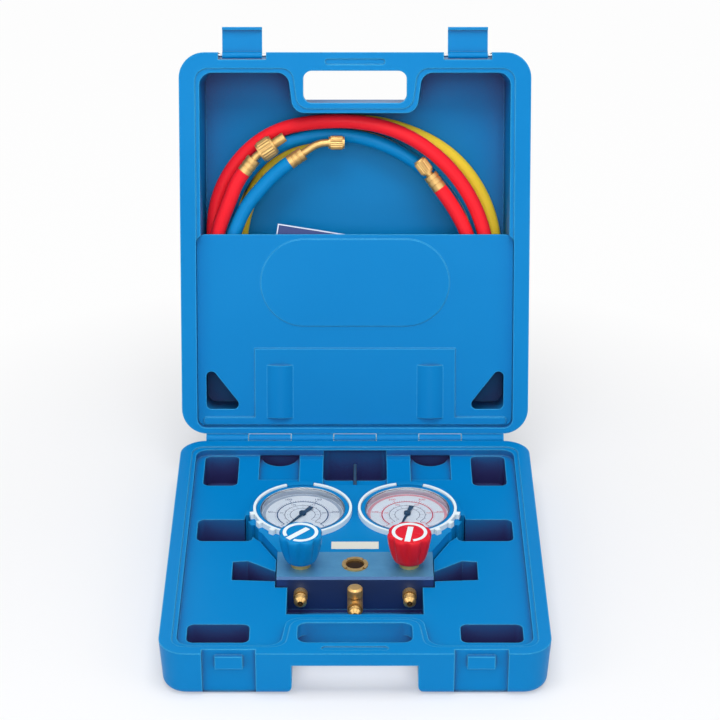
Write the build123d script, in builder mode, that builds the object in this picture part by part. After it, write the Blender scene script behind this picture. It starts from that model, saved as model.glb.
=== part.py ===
# Refrigerant manifold gauge set: two-valve charging manifold with low and high side gauges,
# three charging hoses, and the blow-moulded carrying case that holds them.
# Row frame: origin at the centre of the case base's underside, +Z up, +Y towards the hinge.
from build123d import *
import math
import os

os.makedirs("parts", exist_ok=True)

# ---------------------------------------------------------------- case, both halves
case_width = 330.0
case_length = 362.0
base_height = 43.5
lid_depth = 58.0
corner_radius = 24.0
case_draft = 4.0  # degrees, on the outside walls
bottom_rounding = 8.0
parting_gap = 0.4
base_rim = 15.0  # from the base's outer edge to its tray
lid_rim = 19.0  # from the lid's outer edge to its cavity
rim_step_width = 4.0  # sunk band along the inner side of each rim
rim_step = 1.2
cavity_draft = 3.0  # degrees
inner_radius = 12.0
floor_wall = 2.6

# hand hole and grip bar, the same on both halves
grip_bar = 17.3
hand_hole_half = 48.5
hand_hole_width = 30.0
hand_hole_radius = 8.0
hand_margin = 9.4
grip_thickness = 12.5
hand_neck_flare = 5.0
notch_half = 53.0
notch_flare = 10.0
slot_half = 28.0
slot_width = 5.4
slot_depth = 1.0
slot_inset = 6.1

# hinge
hinge_offset = 4.6  # from the back edge of each half to the pin
open_lean = 18.75  # degrees past upright, where the open lid stops
knuckle_radius = 4.2
knuckle_count = 7
knuckle_length = 40.0
knuckle_gap = 0.6
knuckle_root = 3.0  # how far each web runs into its wall
knuckle_web = 14.0
hinge_pin_radius = 1.5
running_clearance = 0.05

# latches
latch_side_inset = 59.4  # latch centre from the case's side
latch_x = case_width / 2 - latch_side_inset
latch_width = 37.3
latch_channel_half = 22.5
latch_channel_depth = 6.8
latch_channel_floor = 2.0  # the channel stops this far above the underside
latch_pivot_inset = 3.0  # behind the front face
latch_pivot_depth = 5.5  # above the parting plane
latch_barrel_radius = 3.2
latch_pin_radius = 1.25
latch_pin_half = 26.0
latch_plate = 3.0
latch_plate_offset = 1.2
latch_length = 26.2
latch_lip = 2.6
latch_lip_reach = 3.7
catch_half = 11.7
catch_gap = 0.4  # between the catch and the closed latch lip
catch_top = 38.0
catch_proud = 3.4  # from the channel floor

# base tray and its recesses: half widths and front and back edges
tray_depth = 7.5
recess_floor = 6.0
recess_radius = 6.0
side_recesses = [
    (109.5, 141.5, 109.0, 164.0),
    (92.0, 142.5, 10.4, 48.0),
    (89.5, 142.5, -153.0, -125.0),
]
pointed_recess = [(64.0, -57.0), (108.0, -54.5), (108.0, -24.5), (95.0, -23.0), (64.0, -45.0)]
port_recess_half = 59.0
port_recess_front = -109.4
port_recess_floor = 9.0
hook_recess_half = 30.0
hook_recess_front = 118.0
tray_pocket_back = 171.0
scoop_inner = 52.5
scoop_outer = 90.0
scoop_front = 120.0
scoop_depth = 5.0
scoop_round = 17.0
scoop_round_floor = 14.0
tab_inner = 29.8
tab_outer = 52.0
tab_front = 98.0
tab_back = 158.0
tab_height = 5.0
tab_ramp = 9.0

# pocket panel in the lid
panel_face = 10.0  # behind the lid's rim plane
panel_thickness = 2.6
panel_width = 300.0
panel_bottom = 6.0  # from the lid's hinge side edge
panel_top = 190.0
panel_corner = 8.0
panel_fit = 0.3
oval_width = 180.0
oval_height = 84.0
oval_centre = 144.0
oval_proud = 1.2
apron_half = 96.0
apron_top = 81.3
apron_foot = 14.9
apron_proud = 2.0
pad_centre = 71.6
pad_width = 26.0
pad_bottom = 14.0
pad_top = 65.0
pad_proud = 4.5
vent_corners = [(142.0, 68.0), (142.0, 22.0), (106.0, 22.0)]
vent_radius = 5.0

# ---------------------------------------------------------------- manifold
manifold_floor = 13.0  # height of its underside
seat_gap = 0.3
recess_gap = 1.3
side_pitch = 47.5  # gauges, valves and side ports, each side of the middle
block_width = 137.0
block_depth = 43.0
block_height = 32.0
block_y = -44.0
block_chamfer = 2.0
valve_y = -43.5
port_height = 16.0  # above the manifold's underside
gallery_radius = 3.5

gauge_y = 46.5
ring_outer_radius = 44.8
ring_inner_radius = 42.4
ring_height = 5.0
ring_gap_centre = 94.0
ring_gap_half = 16.0
ring_gap_play = 0.6
ring_tooth_reach = 3.6
boot_radius = 48.5
boot_collar_height = 3.4
grip_tooth_reach = 3.0
grip_tooth_width = 8.0
grip_tooth_count = 4
grip_first = 182.0
grip_pitch = 21.4
grip_clear_top = 12.0
can_radius = 38.3
can_wall = 0.8
can_floor = 2.5
dial_radius = 37.3
dial_drop = 7.5  # from the can's rim to the dial's face
lens_thickness = 1.6
housing_wall = 3.0
web_pocket_half = 38.0
lug_outer = 46.5
grip_tooth_foot = 5.0

# inside each gauge, heights above the manifold's underside
can_lip = 0.2
can_sheet = 1.8
dial_thickness = 0.8
dial_hole = 1.5
lens_seat = 2.2  # below the can's rim
lens_overlap = 0.5
socket_half = 6.0
socket_near = 22.0  # from the gauge's centre to the socket block
socket_far = 32.0
socket_bottom = 9.0
socket_top = 23.0
gauge_stem_radius = 5.0
gauge_stem_in_block = 4.0
tube_radius = 27.0
tube_thickness = 3.0
tube_height = 8.0
tube_sweep_end = 170.0
movement_half = 10.0
movement_back = 8.0
movement_plate = 1.5
movement_gap = 8.0  # between its two plates
pillar_radius = 1.5
arbor_radius = 1.0
needle_lift = 0.9  # above the dial
needle_thickness = 0.8
needle_reach = 30.0
needle_tail = 14.0
needle_hub = 3.2
needle_hub_height = 2.0
low_needle_angle = -123.0  # from +X, the pointer at rest
high_needle_angle = -107.0

# sight glass
sight_radius = 11.5
sight_seat = 3.0
sight_bore = 8.8
sight_glass_radius = 9.7
sight_glass_thickness = 2.0
sight_ring_inner = 8.2
sight_ring_proud = 1.0
sight_notch = 2.0

# label plate on the web
label_width = 42.0
label_length = 12.0
label_thickness = 0.3
label_y = -11.6

knob_radius = 19.75
knob_height = 27.5
knob_foot_radius = 12.5
knob_lobes = 8
bonnet_radius = 8.8
bonnet_height = 5.0
bonnet_thread_radius = 6.4
bonnet_thread_length = 11.0
bonnet_edge = 0.8
stem_radius = 4.0
stem_in_knob = 16.0
knob_lift = 0.6  # above the bonnet when the valve is shut
knob_waist = 7.5
knob_flute = 4.2
knob_flute_offset = 2.2
knob_edge = 1.6
stem_tip = 0.3  # above the gallery's axis
stem_cone = 2.6
stem_tip_radius = 1.4
insert_depth = 1.0
insert_proud = 0.3
insert_outer_radius = 15.5
insert_inner = 12.5
insert_gap_half = 20.0
insert_bar = 5.0
insert_bar_tail = 9.0
low_bar_angle = 226.0
high_bar_angle = 262.0

flare_thread_radius = 5.55  # 7/16-20 UNF
flare_length = 17.0
flare_bore = 2.4
flare_cone = 3.0
flare_collar_radius = 6.2
flare_collar = 6.0
flare_undercut = 0.8
port_root_length = 9.0
port_root_radius = 4.6
tee_radius = 6.8
tee_length = 26.0
tee_nose = 9.5
charge_y = -80.0
charge_radius = 4.2
charge_bore = 2.3
charge_core_radius = 2.25
charge_top = 13.0  # above the port axis
cap_radius = 6.8
cap_foot = 7.5
cap_top = 16.0
cap_dome = 2.5

hook_height = 39.5
hook_wire = 1.6
hook_radius = 11.0
hook_shank_end = 138.0
hook_tip = 122.0
bush_radius = 3.0
bush_depth = 5.0
bush_proud = 0.8

# ---------------------------------------------------------------- hoses
hose_radius = 6.75
coil_x = -5.0
coil_u = 166.0
ferrule_radius = 6.9
ferrule_length = 15.6
ferrule_groove = 0.4
ferrule_neck = 3.0
pipe_radius = 3.6
nut_length = 15.0
nut_radius = 6.6
union_radius = 10.2  # the large knurled nut on the red hose
union_length = 16.0
union_heading = 34.0  # degrees from +X, across the lid
union_pipe = 4.0
knurl_depth = 0.5
knurl_count = 22
adapter_radius = 4.65
adapter_length = 12.0
adapter_bore = 2.4
blue_nut_up = 276.0
blue_nut_pipe = 10.0

# hose runs: direction from the coil's centre in degrees, distance from it and depth behind the
# lid's rim, corner by corner
red_run = [
    (140.5, 129.8, 16),
    (154, 132.2, 16),
    (168, 132.2, 20.2),
    (184, 132.2, 20.2),
    (207.7, 131.7, 20),
    (235.4, 132.7, 20),
    (263.1, 134.8, 20),
    (290.8, 137.9, 20),
    (318.5, 138.9, 20),
    (346.2, 137.9, 20),
    (373.8, 136.8, 20),
    (401.5, 135.8, 20),
    (429.2, 134.8, 20),
    (456.9, 133.7, 24.5),
    (484.6, 140.7, 34.2),
    (512.3, 140.9, 34.2),
    (540.0, 134.3, 34.2),
    (567.7, 133.7, 34.2),
    (595.4, 133.7, 34.2),
    (623.1, 132.7, 34.2),
    (650.8, 124.5, 31),
    (678.5, 120.9, 25),
    (706.2, 120.4, 20),
    (733.8, 117.8, 20),
    (758, 108.5, 20),
]
blue_run = [
    (122, 107.6, 21.5),
    (138.5, 110.7, 21.5),
    (157, 114.2, 21),
    (180.0, 117.3, 20),
    (207.7, 117.3, 20),
    (235.4, 117.3, 20),
    (263.1, 115.2, 20),
    (290.8, 108.0, 24),
    (318.5, 103.9, 31),
    (346.2, 109.1, 34.2),
    (373.8, 116.8, 34.2),
    (401.5, 118.8, 34.2),
    (429.2, 119.9, 34.2),
    (456.9, 121.4, 34.2),
    (484.6, 126.0, 34.2),
    (512.3, 125.5, 34.2),
    (540.0, 118.8, 34.2),
    (567.7, 116.3, 34.2),
    (592, 108, 34.2),
]
yellow_run = [
    (523, 119.5, 48.4),
    (504, 126.5, 48.4),
    (484.6, 131.2, 48.4),
    (456.9, 131.7, 48.4),
    (429.2, 133.7, 48.4),
    (401.5, 141.5, 48.4),
    (373.8, 144.0, 48.4),
    (346.2, 143.5, 48.4),
    (318.5, 135.8, 48.4),
    (290.8, 128.6, 48.4),
    (263.1, 123.5, 48.4),
    (235.4, 116.3, 48.4),
    (207.7, 109.1, 48.4),
    (180.0, 106.0, 48.4),
    (152.3, 108.5, 48.4),
    (124.6, 114.7, 48.4),
    (96.9, 116.8, 48.4),
    (69.2, 118.3, 48.4),
    (41.5, 122.4, 48.4),
    (13.8, 123.5, 48.4),
    (-13.8, 120.4, 48.4),
    (-41.5, 113.2, 48.4),
    (-69.2, 105.5, 48.4),
    (-96.9, 97.7, 48.4),
    (-121.5, 89, 48.4),
]

# leaflet in the lid pocket
leaflet_width = 100.0
leaflet_height = 130.0
leaflet_thickness = 0.35
leaflet_x = -33.8
leaflet_u = 128.0
leaflet_turn = -9.0

half_length = case_length / 2
hinge_y = half_length + hinge_offset
lid_lean = math.radians(open_lean)
lid_up = Vector(0, math.sin(lid_lean), math.cos(lid_lean))
lid_out = Vector(0, -math.cos(lid_lean), math.sin(lid_lean))
hinge_axis_point = Vector(0, hinge_y, base_height)


def lid_plane(depth=0.0):
    """Plane across the open lid, depth behind its rim, with its origin in the lid's middle."""
    middle = hinge_axis_point + lid_up * (hinge_offset + half_length) - lid_out * depth
    return Plane(origin=middle, x_dir=(1, 0, 0), z_dir=tuple(lid_out))


def lid_side_plane(x):
    """Plane across the lid at x: its own x runs up the lid from the hinge pin, y out of it."""
    return Plane(origin=hinge_axis_point + Vector(x, 0, 0), x_dir=tuple(lid_up), z_dir=(1, 0, 0))


def lid_point(x, up, depth):
    """A point of the open lid: up is measured from its hinge side edge."""
    return hinge_axis_point + Vector(x, 0, 0) + lid_up * (hinge_offset + up) - lid_out * depth


def lid_direction(heading):
    """Unit vector across the open lid, heading in degrees from +X."""
    angle = math.radians(heading)
    return Vector(math.cos(angle), 0, 0) + lid_up * math.sin(angle)


def run_corner(corner):
    """Lid coordinates (x, up, depth) of one corner of a hose run."""
    angle, distance, depth = corner
    turn = math.radians(angle)
    return coil_x + distance * math.cos(turn), coil_u + distance * math.sin(turn), depth


def hose_end(run, last):
    """Lid coordinates of a hose's end and the heading in which it points."""
    tip, inner = (run[-1], run[-2]) if last else (run[0], run[1])
    x, up, depth = run_corner(tip)
    inner_x, inner_up, _ = run_corner(inner)
    return x, up, depth, math.degrees(math.atan2(up - inner_up, x - inner_x))


def further(end, distance):
    """The same end moved on along its heading."""
    x, up, depth, heading = end
    turn = math.radians(heading)
    return x + distance * math.cos(turn), up + distance * math.sin(turn), depth, heading


def turn_along(end, profile):
    """Revolve a profile of (distance, radius) points about an end's heading."""
    x, up, depth, heading = end
    origin = lid_point(x, up, depth)
    axis = Axis(tuple(origin), tuple(lid_direction(heading)))
    plane = Plane(origin=origin, x_dir=tuple(axis.direction), z_dir=tuple(lid_out))
    with BuildSketch(plane, mode=Mode.PRIVATE) as section:
        with BuildLine():
            Polyline(*profile, close=True)
        make_face()
    revolve(section.sketch, axis=axis)


def ferrule(end, neck):
    """Crimped ferrule with two rolled grooves and a neck for the fitting beyond it."""
    low = ferrule_radius - ferrule_groove
    third = ferrule_length / 3
    profile = [(0, 0), (0, ferrule_radius)]
    for start in (third, 2 * third):
        profile.append((start - 1, ferrule_radius))
        profile.append((start - 0.5, low))
        profile.append((start + 0.5, low))
        profile.append((start + 1, ferrule_radius))
    profile.append((ferrule_length, ferrule_radius))
    if neck > 0:
        profile.append((ferrule_length, pipe_radius))
        profile.append((ferrule_length + neck, pipe_radius))
    profile.append((ferrule_length + neck, 0))
    turn_along(end, profile)


def knurled_nut(end, radius, length):
    """Nut with a serrated grip between two plain shoulders."""
    x, up, depth, heading = end
    origin = lid_point(x, up, depth)
    plane = Plane(origin=origin, x_dir=tuple(lid_out), z_dir=tuple(lid_direction(heading)))
    with BuildSketch(plane, mode=Mode.PRIVATE) as shoulder:
        Circle(radius - 2 * knurl_depth)
    extrude(shoulder.sketch, amount=length)
    crests = []
    for i in range(2 * knurl_count):
        turn = math.pi * i / knurl_count
        reach = radius - (i % 2) * knurl_depth
        crests.append((reach * math.cos(turn), reach * math.sin(turn)))
    with BuildSketch(plane.offset(length / 8), mode=Mode.PRIVATE) as grip:
        with BuildLine():
            Polyline(*crests, close=True)
        make_face()
    extrude(grip.sketch, amount=length * 3 / 4)


def bent_pipe(start, corner, end):
    """Short tube in one depth of the lid, bent once at its corner."""
    points = [lid_point(x, up, start[2]) for x, up in (start[:2], corner[:2], end[:2])]
    legs = [(points[1] - points[0]), (points[2] - points[1])]
    half_turn = math.radians(legs[0].get_angle(legs[1])) / 2
    bend = 0.9 * min(legs[0].length, legs[1].length) / math.tan(half_turn)
    with BuildLine(mode=Mode.PRIVATE) as middle:
        FilletPolyline(*points, radius=bend)
    tube_plane = Plane(origin=points[0], z_dir=tuple(legs[0].normalized()))
    with BuildSketch(tube_plane, mode=Mode.PRIVATE) as section:
        Circle(pipe_radius)
    sweep(section.sketch, path=middle.line)


def save(part, name):
    part.part.label = name
    export_step(part.part, f"parts/{name}.step")


def inner_outline(front, rim, spread):
    """Tray or cavity outline, notched round the hand hole; front is -1 in the base, 1 in the lid."""
    half_x = case_width / 2 - rim + spread
    half_y = half_length - rim + spread
    low = half_length - grip_bar - hand_hole_width - hand_margin + spread
    neck = hand_hole_half + hand_margin + hand_neck_flare - spread
    foot = hand_hole_half + hand_margin - spread
    with BuildSketch(mode=Mode.PRIVATE) as outline:
        RectangleRounded(2 * half_x, 2 * half_y, inner_radius)
        with BuildLine():
            Polyline((-neck, half_y + 1), (-foot, low), (foot, low), (neck, half_y + 1), close=True)
        make_face(mode=Mode.SUBTRACT)
        corners = outline.vertices().filter_by(lambda v: abs(v.X) < neck + 1)
        fillet(corners, inner_radius)
    shape = outline.sketch
    return shape if front > 0 else mirror(shape, about=Plane.XZ)


def notch_profile(top, foot):
    """Front view of the notch under the grip bar, from the bar's underside to its rounded feet."""
    side = 1 if top > foot else -1
    bend = foot + side * notch_flare
    reach = notch_half + notch_flare
    slack = notch_flare * (1 - math.sqrt(0.5))
    Line((-reach, foot), (reach, foot))
    ThreePointArc((reach, foot), (notch_half + slack, foot + side * slack), (notch_half, bend))
    Line((notch_half, bend), (notch_half, top))
    Line((notch_half, top), (-notch_half, top))
    Line((-notch_half, top), (-notch_half, bend))
    ThreePointArc((-notch_half, bend), (-notch_half - slack, foot + side * slack), (-reach, foot))


def housing_outline(grow):
    """Plan of the gauge housing: two round boots run together down to the block."""
    back = block_y + block_depth / 2
    with BuildSketch(mode=Mode.PRIVATE) as outline:
        with Locations((-side_pitch, gauge_y), (side_pitch, gauge_y)):
            Circle(boot_radius + grow)
        with Locations((0, back + 2 - grow / 2)):
            Rectangle(block_width - 2 + 2 * grow, 4 + grow)
        make_hull()
    return outline.sketch


def grip_angles(side):
    """Directions of the grip teeth on the boot at side -1 (low) or 1 (high)."""
    angles = [grip_first + i * grip_pitch for i in range(grip_tooth_count)]
    return angles if side < 0 else [180 - a for a in angles]


def lug_angle(side):
    """Direction of the lug at the top of each bezel ring."""
    return ring_gap_centre if side < 0 else 180 - ring_gap_centre


def ring_sector(inner, outer, centre_angle, half_angle):
    """Part of a flat ring, half_angle each side of centre_angle, about the origin."""
    with BuildSketch(mode=Mode.PRIVATE) as sector:
        with BuildLine():
            start = centre_angle - half_angle
            CenterArc((0, 0), outer, start, 2 * half_angle)
            rim = [Vector(math.cos(a), math.sin(a)) * outer for a in sector_ends(start, half_angle)]
            Polyline(rim[0], (0, 0), rim[1])
        make_face()
        if inner > 0:
            Circle(inner, mode=Mode.SUBTRACT)
    return sector.sketch


def sector_ends(start, half_angle):
    return math.radians(start), math.radians(start + 2 * half_angle)


def insert_outline(grow, bar_angle):
    """Knob insert: an open ring and the bar that runs into its gap."""
    with BuildSketch(mode=Mode.PRIVATE) as outline:
        Circle(insert_outer_radius + grow)
        Circle(insert_inner - grow, mode=Mode.SUBTRACT)
        add(
            ring_sector(0, 2 * insert_outer_radius, bar_angle, insert_gap_half - 3 * grow),
            mode=Mode.SUBTRACT,
        )
        with PolarLocations((insert_outer_radius - insert_bar_tail) / 2, 1, bar_angle):
            Rectangle(insert_outer_radius + insert_bar_tail + 2 * grow, insert_bar + 2 * grow)
    return outline.sketch


def port_profile(collar, collar_radius, length):
    """Half section of a flare port: root in the block, collar, thread and flare cone."""
    front = block_y - block_depth / 2
    axis_z = manifold_floor + port_height
    radii = [
        (port_root_length, flare_bore),
        (port_root_length, port_root_radius),
        (0, port_root_radius),
        (0, collar_radius),
        (-collar, collar_radius),
        (-collar, flare_thread_radius - flare_undercut),
        (-collar - flare_undercut, flare_thread_radius - flare_undercut),
        (-collar - 2 * flare_undercut, flare_thread_radius),
        (flare_cone - length, flare_thread_radius),
        (-length, flare_bore + 0.4),
        (-length, flare_bore),
    ]
    return [(front + y, axis_z + r) for y, r in radii]


# ================================================================ case base
hand_hole_y = half_length - grip_bar - hand_hole_width / 2
notch_back = half_length - grip_bar - hand_hole_width
tray_z = base_height - tray_depth
channel_y = half_length - latch_channel_depth
catch_bottom = base_height + latch_pivot_depth - latch_length + latch_lip + catch_gap
knuckle_step = knuckle_length + knuckle_gap
knuckle_starts = [
    (i - knuckle_count / 2) * knuckle_step + knuckle_gap / 2 for i in range(knuckle_count)
]

with BuildPart() as case_base:
    with BuildSketch(Plane(origin=(0, 0, base_height), z_dir=(0, 0, -1))):
        RectangleRounded(case_width, case_length, corner_radius)
    extrude(amount=base_height, taper=case_draft)
    fillet(case_base.faces().sort_by(Axis.Z)[0].edges(), bottom_rounding)
    with BuildSketch(Plane.XY.offset(base_height)):
        add(inner_outline(-1, base_rim, rim_step_width))
    extrude(amount=-rim_step, mode=Mode.SUBTRACT)
    with BuildSketch(Plane.XY.offset(base_height)):
        add(inner_outline(-1, base_rim, 0))
    extrude(amount=-tray_depth, mode=Mode.SUBTRACT)
    # raised tabs behind the gauges
    for side in (-1, 1):
        with BuildSketch(Plane.YZ.offset(side * tab_outer if side < 0 else tab_inner)):
            with BuildLine():
                Polyline(
                    (tab_front, tray_z - 1),
                    (tab_front, tray_z + tab_height),
                    (tab_back - tab_ramp, tray_z + tab_height),
                    (tab_back, tray_z - 1),
                    close=True,
                )
            make_face()
        extrude(amount=tab_outer - tab_inner)
    # recesses for fittings and spares
    with BuildSketch(Plane.XY.offset(tray_z)):
        for inner, outer, front, back in side_recesses:
            with Locations(
                ((inner + outer) / 2, (front + back) / 2), (-(inner + outer) / 2, (front + back) / 2)
            ):
                RectangleRounded(outer - inner, back - front, recess_radius)
    extrude(amount=recess_floor - tray_z, mode=Mode.SUBTRACT)
    with BuildSketch(Plane.XY.offset(tray_z)):
        for side in (-1, 1):
            with BuildLine():
                Polyline(*[(side * x, y) for x, y in pointed_recess], close=True)
            make_face()
    extrude(amount=recess_floor - tray_z, mode=Mode.SUBTRACT)
    with BuildSketch(Plane.XY.offset(tray_z + tab_height)):
        with Locations((0, (hook_recess_front + tray_pocket_back) / 2)):
            RectangleRounded(
                2 * hook_recess_half - 0.6, tray_pocket_back - hook_recess_front, recess_radius
            )
    extrude(amount=recess_floor - tray_z - tab_height, mode=Mode.SUBTRACT)
    # shallow scoops with a deeper half-round at the back
    with BuildSketch(Plane.XY.offset(tray_z)):
        scoop_middle = (scoop_inner + scoop_outer) / 2
        scoop_y = (scoop_front + tray_pocket_back) / 2
        with Locations((scoop_middle, scoop_y), (-scoop_middle, scoop_y)):
            Rectangle(scoop_outer - scoop_inner, tray_pocket_back - scoop_front)
    extrude(amount=-scoop_depth, mode=Mode.SUBTRACT)
    with BuildSketch(Plane.XY.offset(tray_z)):
        with Locations((scoop_middle, tray_pocket_back), (-scoop_middle, tray_pocket_back)):
            Circle(scoop_round)
        with Locations((0, tray_pocket_back + scoop_round / 2)):
            Rectangle(case_width, scoop_round, mode=Mode.SUBTRACT)
    extrude(amount=scoop_round_floor - tray_z, mode=Mode.SUBTRACT)
    # nest for the manifold
    with BuildSketch(Plane.XY.offset(tray_z + tab_height)):
        add(housing_outline(recess_gap))
        with Locations((0, block_y)):
            Rectangle(block_width + 2 * recess_gap, block_depth + 2 * recess_gap)
    extrude(amount=manifold_floor - seat_gap - tray_z - tab_height, mode=Mode.SUBTRACT)
    with BuildSketch(Plane.XY.offset(tray_z)):
        with Locations((-side_pitch, gauge_y), (side_pitch, gauge_y)):
            Circle(boot_radius + grip_tooth_reach + recess_gap)
        with Locations((0, gauge_y)):
            Rectangle(2 * side_pitch, 3 * boot_radius, mode=Mode.SUBTRACT)
        with Locations((0, gauge_y + grip_clear_top + case_width / 2)):
            Rectangle(case_width, case_width, mode=Mode.SUBTRACT)
    extrude(amount=manifold_floor - seat_gap - tray_z, mode=Mode.SUBTRACT)
    port_back = block_y - block_depth / 2
    with BuildSketch(Plane.XY.offset(tray_z)):
        with Locations((0, (port_recess_front + port_back) / 2)):
            Rectangle(2 * port_recess_half, port_back - port_recess_front)
    extrude(amount=port_recess_floor - tray_z, mode=Mode.SUBTRACT)
    # grip bar: hand hole, the notch under it and the long slot on its top
    with BuildSketch(Plane.XZ.offset(half_length + 1)):
        with BuildLine():
            notch_profile(base_height - grip_thickness, -0.01)
        make_face()
    extrude(amount=-(half_length + 1 - notch_back), mode=Mode.SUBTRACT)
    with BuildSketch(Plane.XY.offset(base_height)):
        with Locations((0, -hand_hole_y)):
            RectangleRounded(2 * hand_hole_half, hand_hole_width, hand_hole_radius)
    extrude(amount=-grip_thickness - 1, mode=Mode.SUBTRACT)
    with BuildSketch(Plane.XY.offset(base_height)):
        with Locations((0, -half_length + slot_inset + slot_width / 2)):
            SlotOverall(2 * slot_half, slot_width)
    extrude(amount=-slot_depth, mode=Mode.SUBTRACT)
    # latch channels and catches
    with BuildSketch(Plane.XY.offset(latch_channel_floor)):
        with Locations(
            (latch_x, -half_length + latch_channel_depth / 2 - 1),
            (-latch_x, -half_length + latch_channel_depth / 2 - 1),
        ):
            Rectangle(2 * latch_channel_half, latch_channel_depth + 2)
    extrude(amount=base_height, mode=Mode.SUBTRACT)
    with BuildSketch(Plane.XY.offset(catch_bottom)):
        with Locations(
            (latch_x, -channel_y - catch_proud / 2 + 1), (-latch_x, -channel_y - catch_proud / 2 + 1)
        ):
            Rectangle(2 * catch_half, catch_proud + 2)
    extrude(amount=catch_top - catch_bottom)
    # hinge knuckles
    for start in knuckle_starts[1::2]:
        with BuildSketch(Plane.YZ.offset(start)):
            with Locations((hinge_y, base_height)):
                Circle(knuckle_radius)
            with BuildLine():
                Polyline(
                    (hinge_y, base_height),
                    (hinge_y, base_height - knuckle_radius),
                    (half_length - knuckle_root, base_height - knuckle_web),
                    (half_length - knuckle_root, base_height - 1),
                    close=True,
                )
            make_face()
        extrude(amount=knuckle_length)
    with BuildSketch(Plane.YZ.offset(-case_width / 2)):
        with Locations((hinge_y, base_height)):
            Circle(hinge_pin_radius + running_clearance)
    extrude(amount=case_width, mode=Mode.SUBTRACT)
save(case_base, "case_base")

# ================================================================ case lid
lid_floor = lid_depth - floor_wall

with BuildPart() as case_lid:
    with BuildSketch(lid_plane(parting_gap)):
        RectangleRounded(case_width, case_length, corner_radius)
    extrude(amount=-(lid_depth - parting_gap), taper=case_draft)
    fillet(case_lid.faces().sort_by(Axis((0, 0, 0), tuple(lid_out)))[0].edges(), bottom_rounding)
    with BuildSketch(lid_plane(0)):
        add(inner_outline(1, lid_rim, rim_step_width))
    extrude(amount=-rim_step - parting_gap, mode=Mode.SUBTRACT)
    with BuildSketch(lid_plane(0)):
        add(inner_outline(1, lid_rim, 0))
    extrude(amount=-lid_floor, taper=cavity_draft, mode=Mode.SUBTRACT)
    # rebate for the pocket panel
    with BuildSketch(lid_plane(0)):
        with Locations((0, (panel_bottom + panel_top) / 2 - half_length)):
            RectangleRounded(
                panel_width + 2 * panel_fit,
                panel_top - panel_bottom + 2 * panel_fit,
                panel_corner + panel_fit,
            )
    extrude(amount=-panel_face - panel_thickness - running_clearance, mode=Mode.SUBTRACT)
    # grip bar
    with BuildSketch(Plane(lid_point(0, case_length + 1, 0), x_dir=(1, 0, 0), z_dir=tuple(lid_up))):
        with BuildLine():
            notch_profile(grip_thickness, lid_depth + 0.01)
        make_face()
    extrude(amount=-(half_length + 1 - notch_back), mode=Mode.SUBTRACT)
    with BuildSketch(lid_plane(0)):
        with Locations((0, hand_hole_y)):
            RectangleRounded(2 * hand_hole_half, hand_hole_width, hand_hole_radius)
    extrude(amount=-grip_thickness - 1, mode=Mode.SUBTRACT)
    with BuildSketch(lid_plane(0)):
        with Locations((0, half_length - slot_inset - slot_width / 2)):
            SlotOverall(2 * slot_half, slot_width)
    extrude(amount=-slot_depth - parting_gap, mode=Mode.SUBTRACT)
    # latch channels
    with BuildSketch(lid_plane(0)):
        with Locations(
            (latch_x, half_length - latch_channel_depth / 2 + 1),
            (-latch_x, half_length - latch_channel_depth / 2 + 1),
        ):
            Rectangle(2 * latch_channel_half, latch_channel_depth + 2)
    extrude(amount=-(lid_depth - latch_channel_floor), mode=Mode.SUBTRACT)
    for side in (-1, 1):
        with BuildSketch(lid_side_plane(side * latch_x - latch_pin_half)):
            with Locations(
                (hinge_offset + case_length - latch_pivot_inset, -latch_pivot_depth)
            ):
                Circle(latch_pin_radius)
        extrude(amount=2 * latch_pin_half, mode=Mode.SUBTRACT)
    # hinge knuckles
    for start in knuckle_starts[0::2]:
        with BuildSketch(lid_side_plane(start)):
            Circle(knuckle_radius)
            with BuildLine():
                Polyline(
                    (0, 0),
                    (0, -knuckle_radius),
                    (hinge_offset + knuckle_root, -knuckle_web),
                    (hinge_offset + knuckle_root, -1),
                    close=True,
                )
            make_face()
        extrude(amount=knuckle_length)
    with BuildSketch(lid_side_plane(-case_width / 2)):
        Circle(hinge_pin_radius + running_clearance)
    extrude(amount=case_width, mode=Mode.SUBTRACT)
save(case_lid, "case_lid")

with BuildPart() as hinge_pin:
    with BuildSketch(Plane.YZ.offset(knuckle_starts[0])):
        with Locations((hinge_y, base_height)):
            Circle(hinge_pin_radius)
    extrude(amount=knuckle_count * knuckle_step - knuckle_gap)
save(hinge_pin, "hinge_pin")

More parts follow.
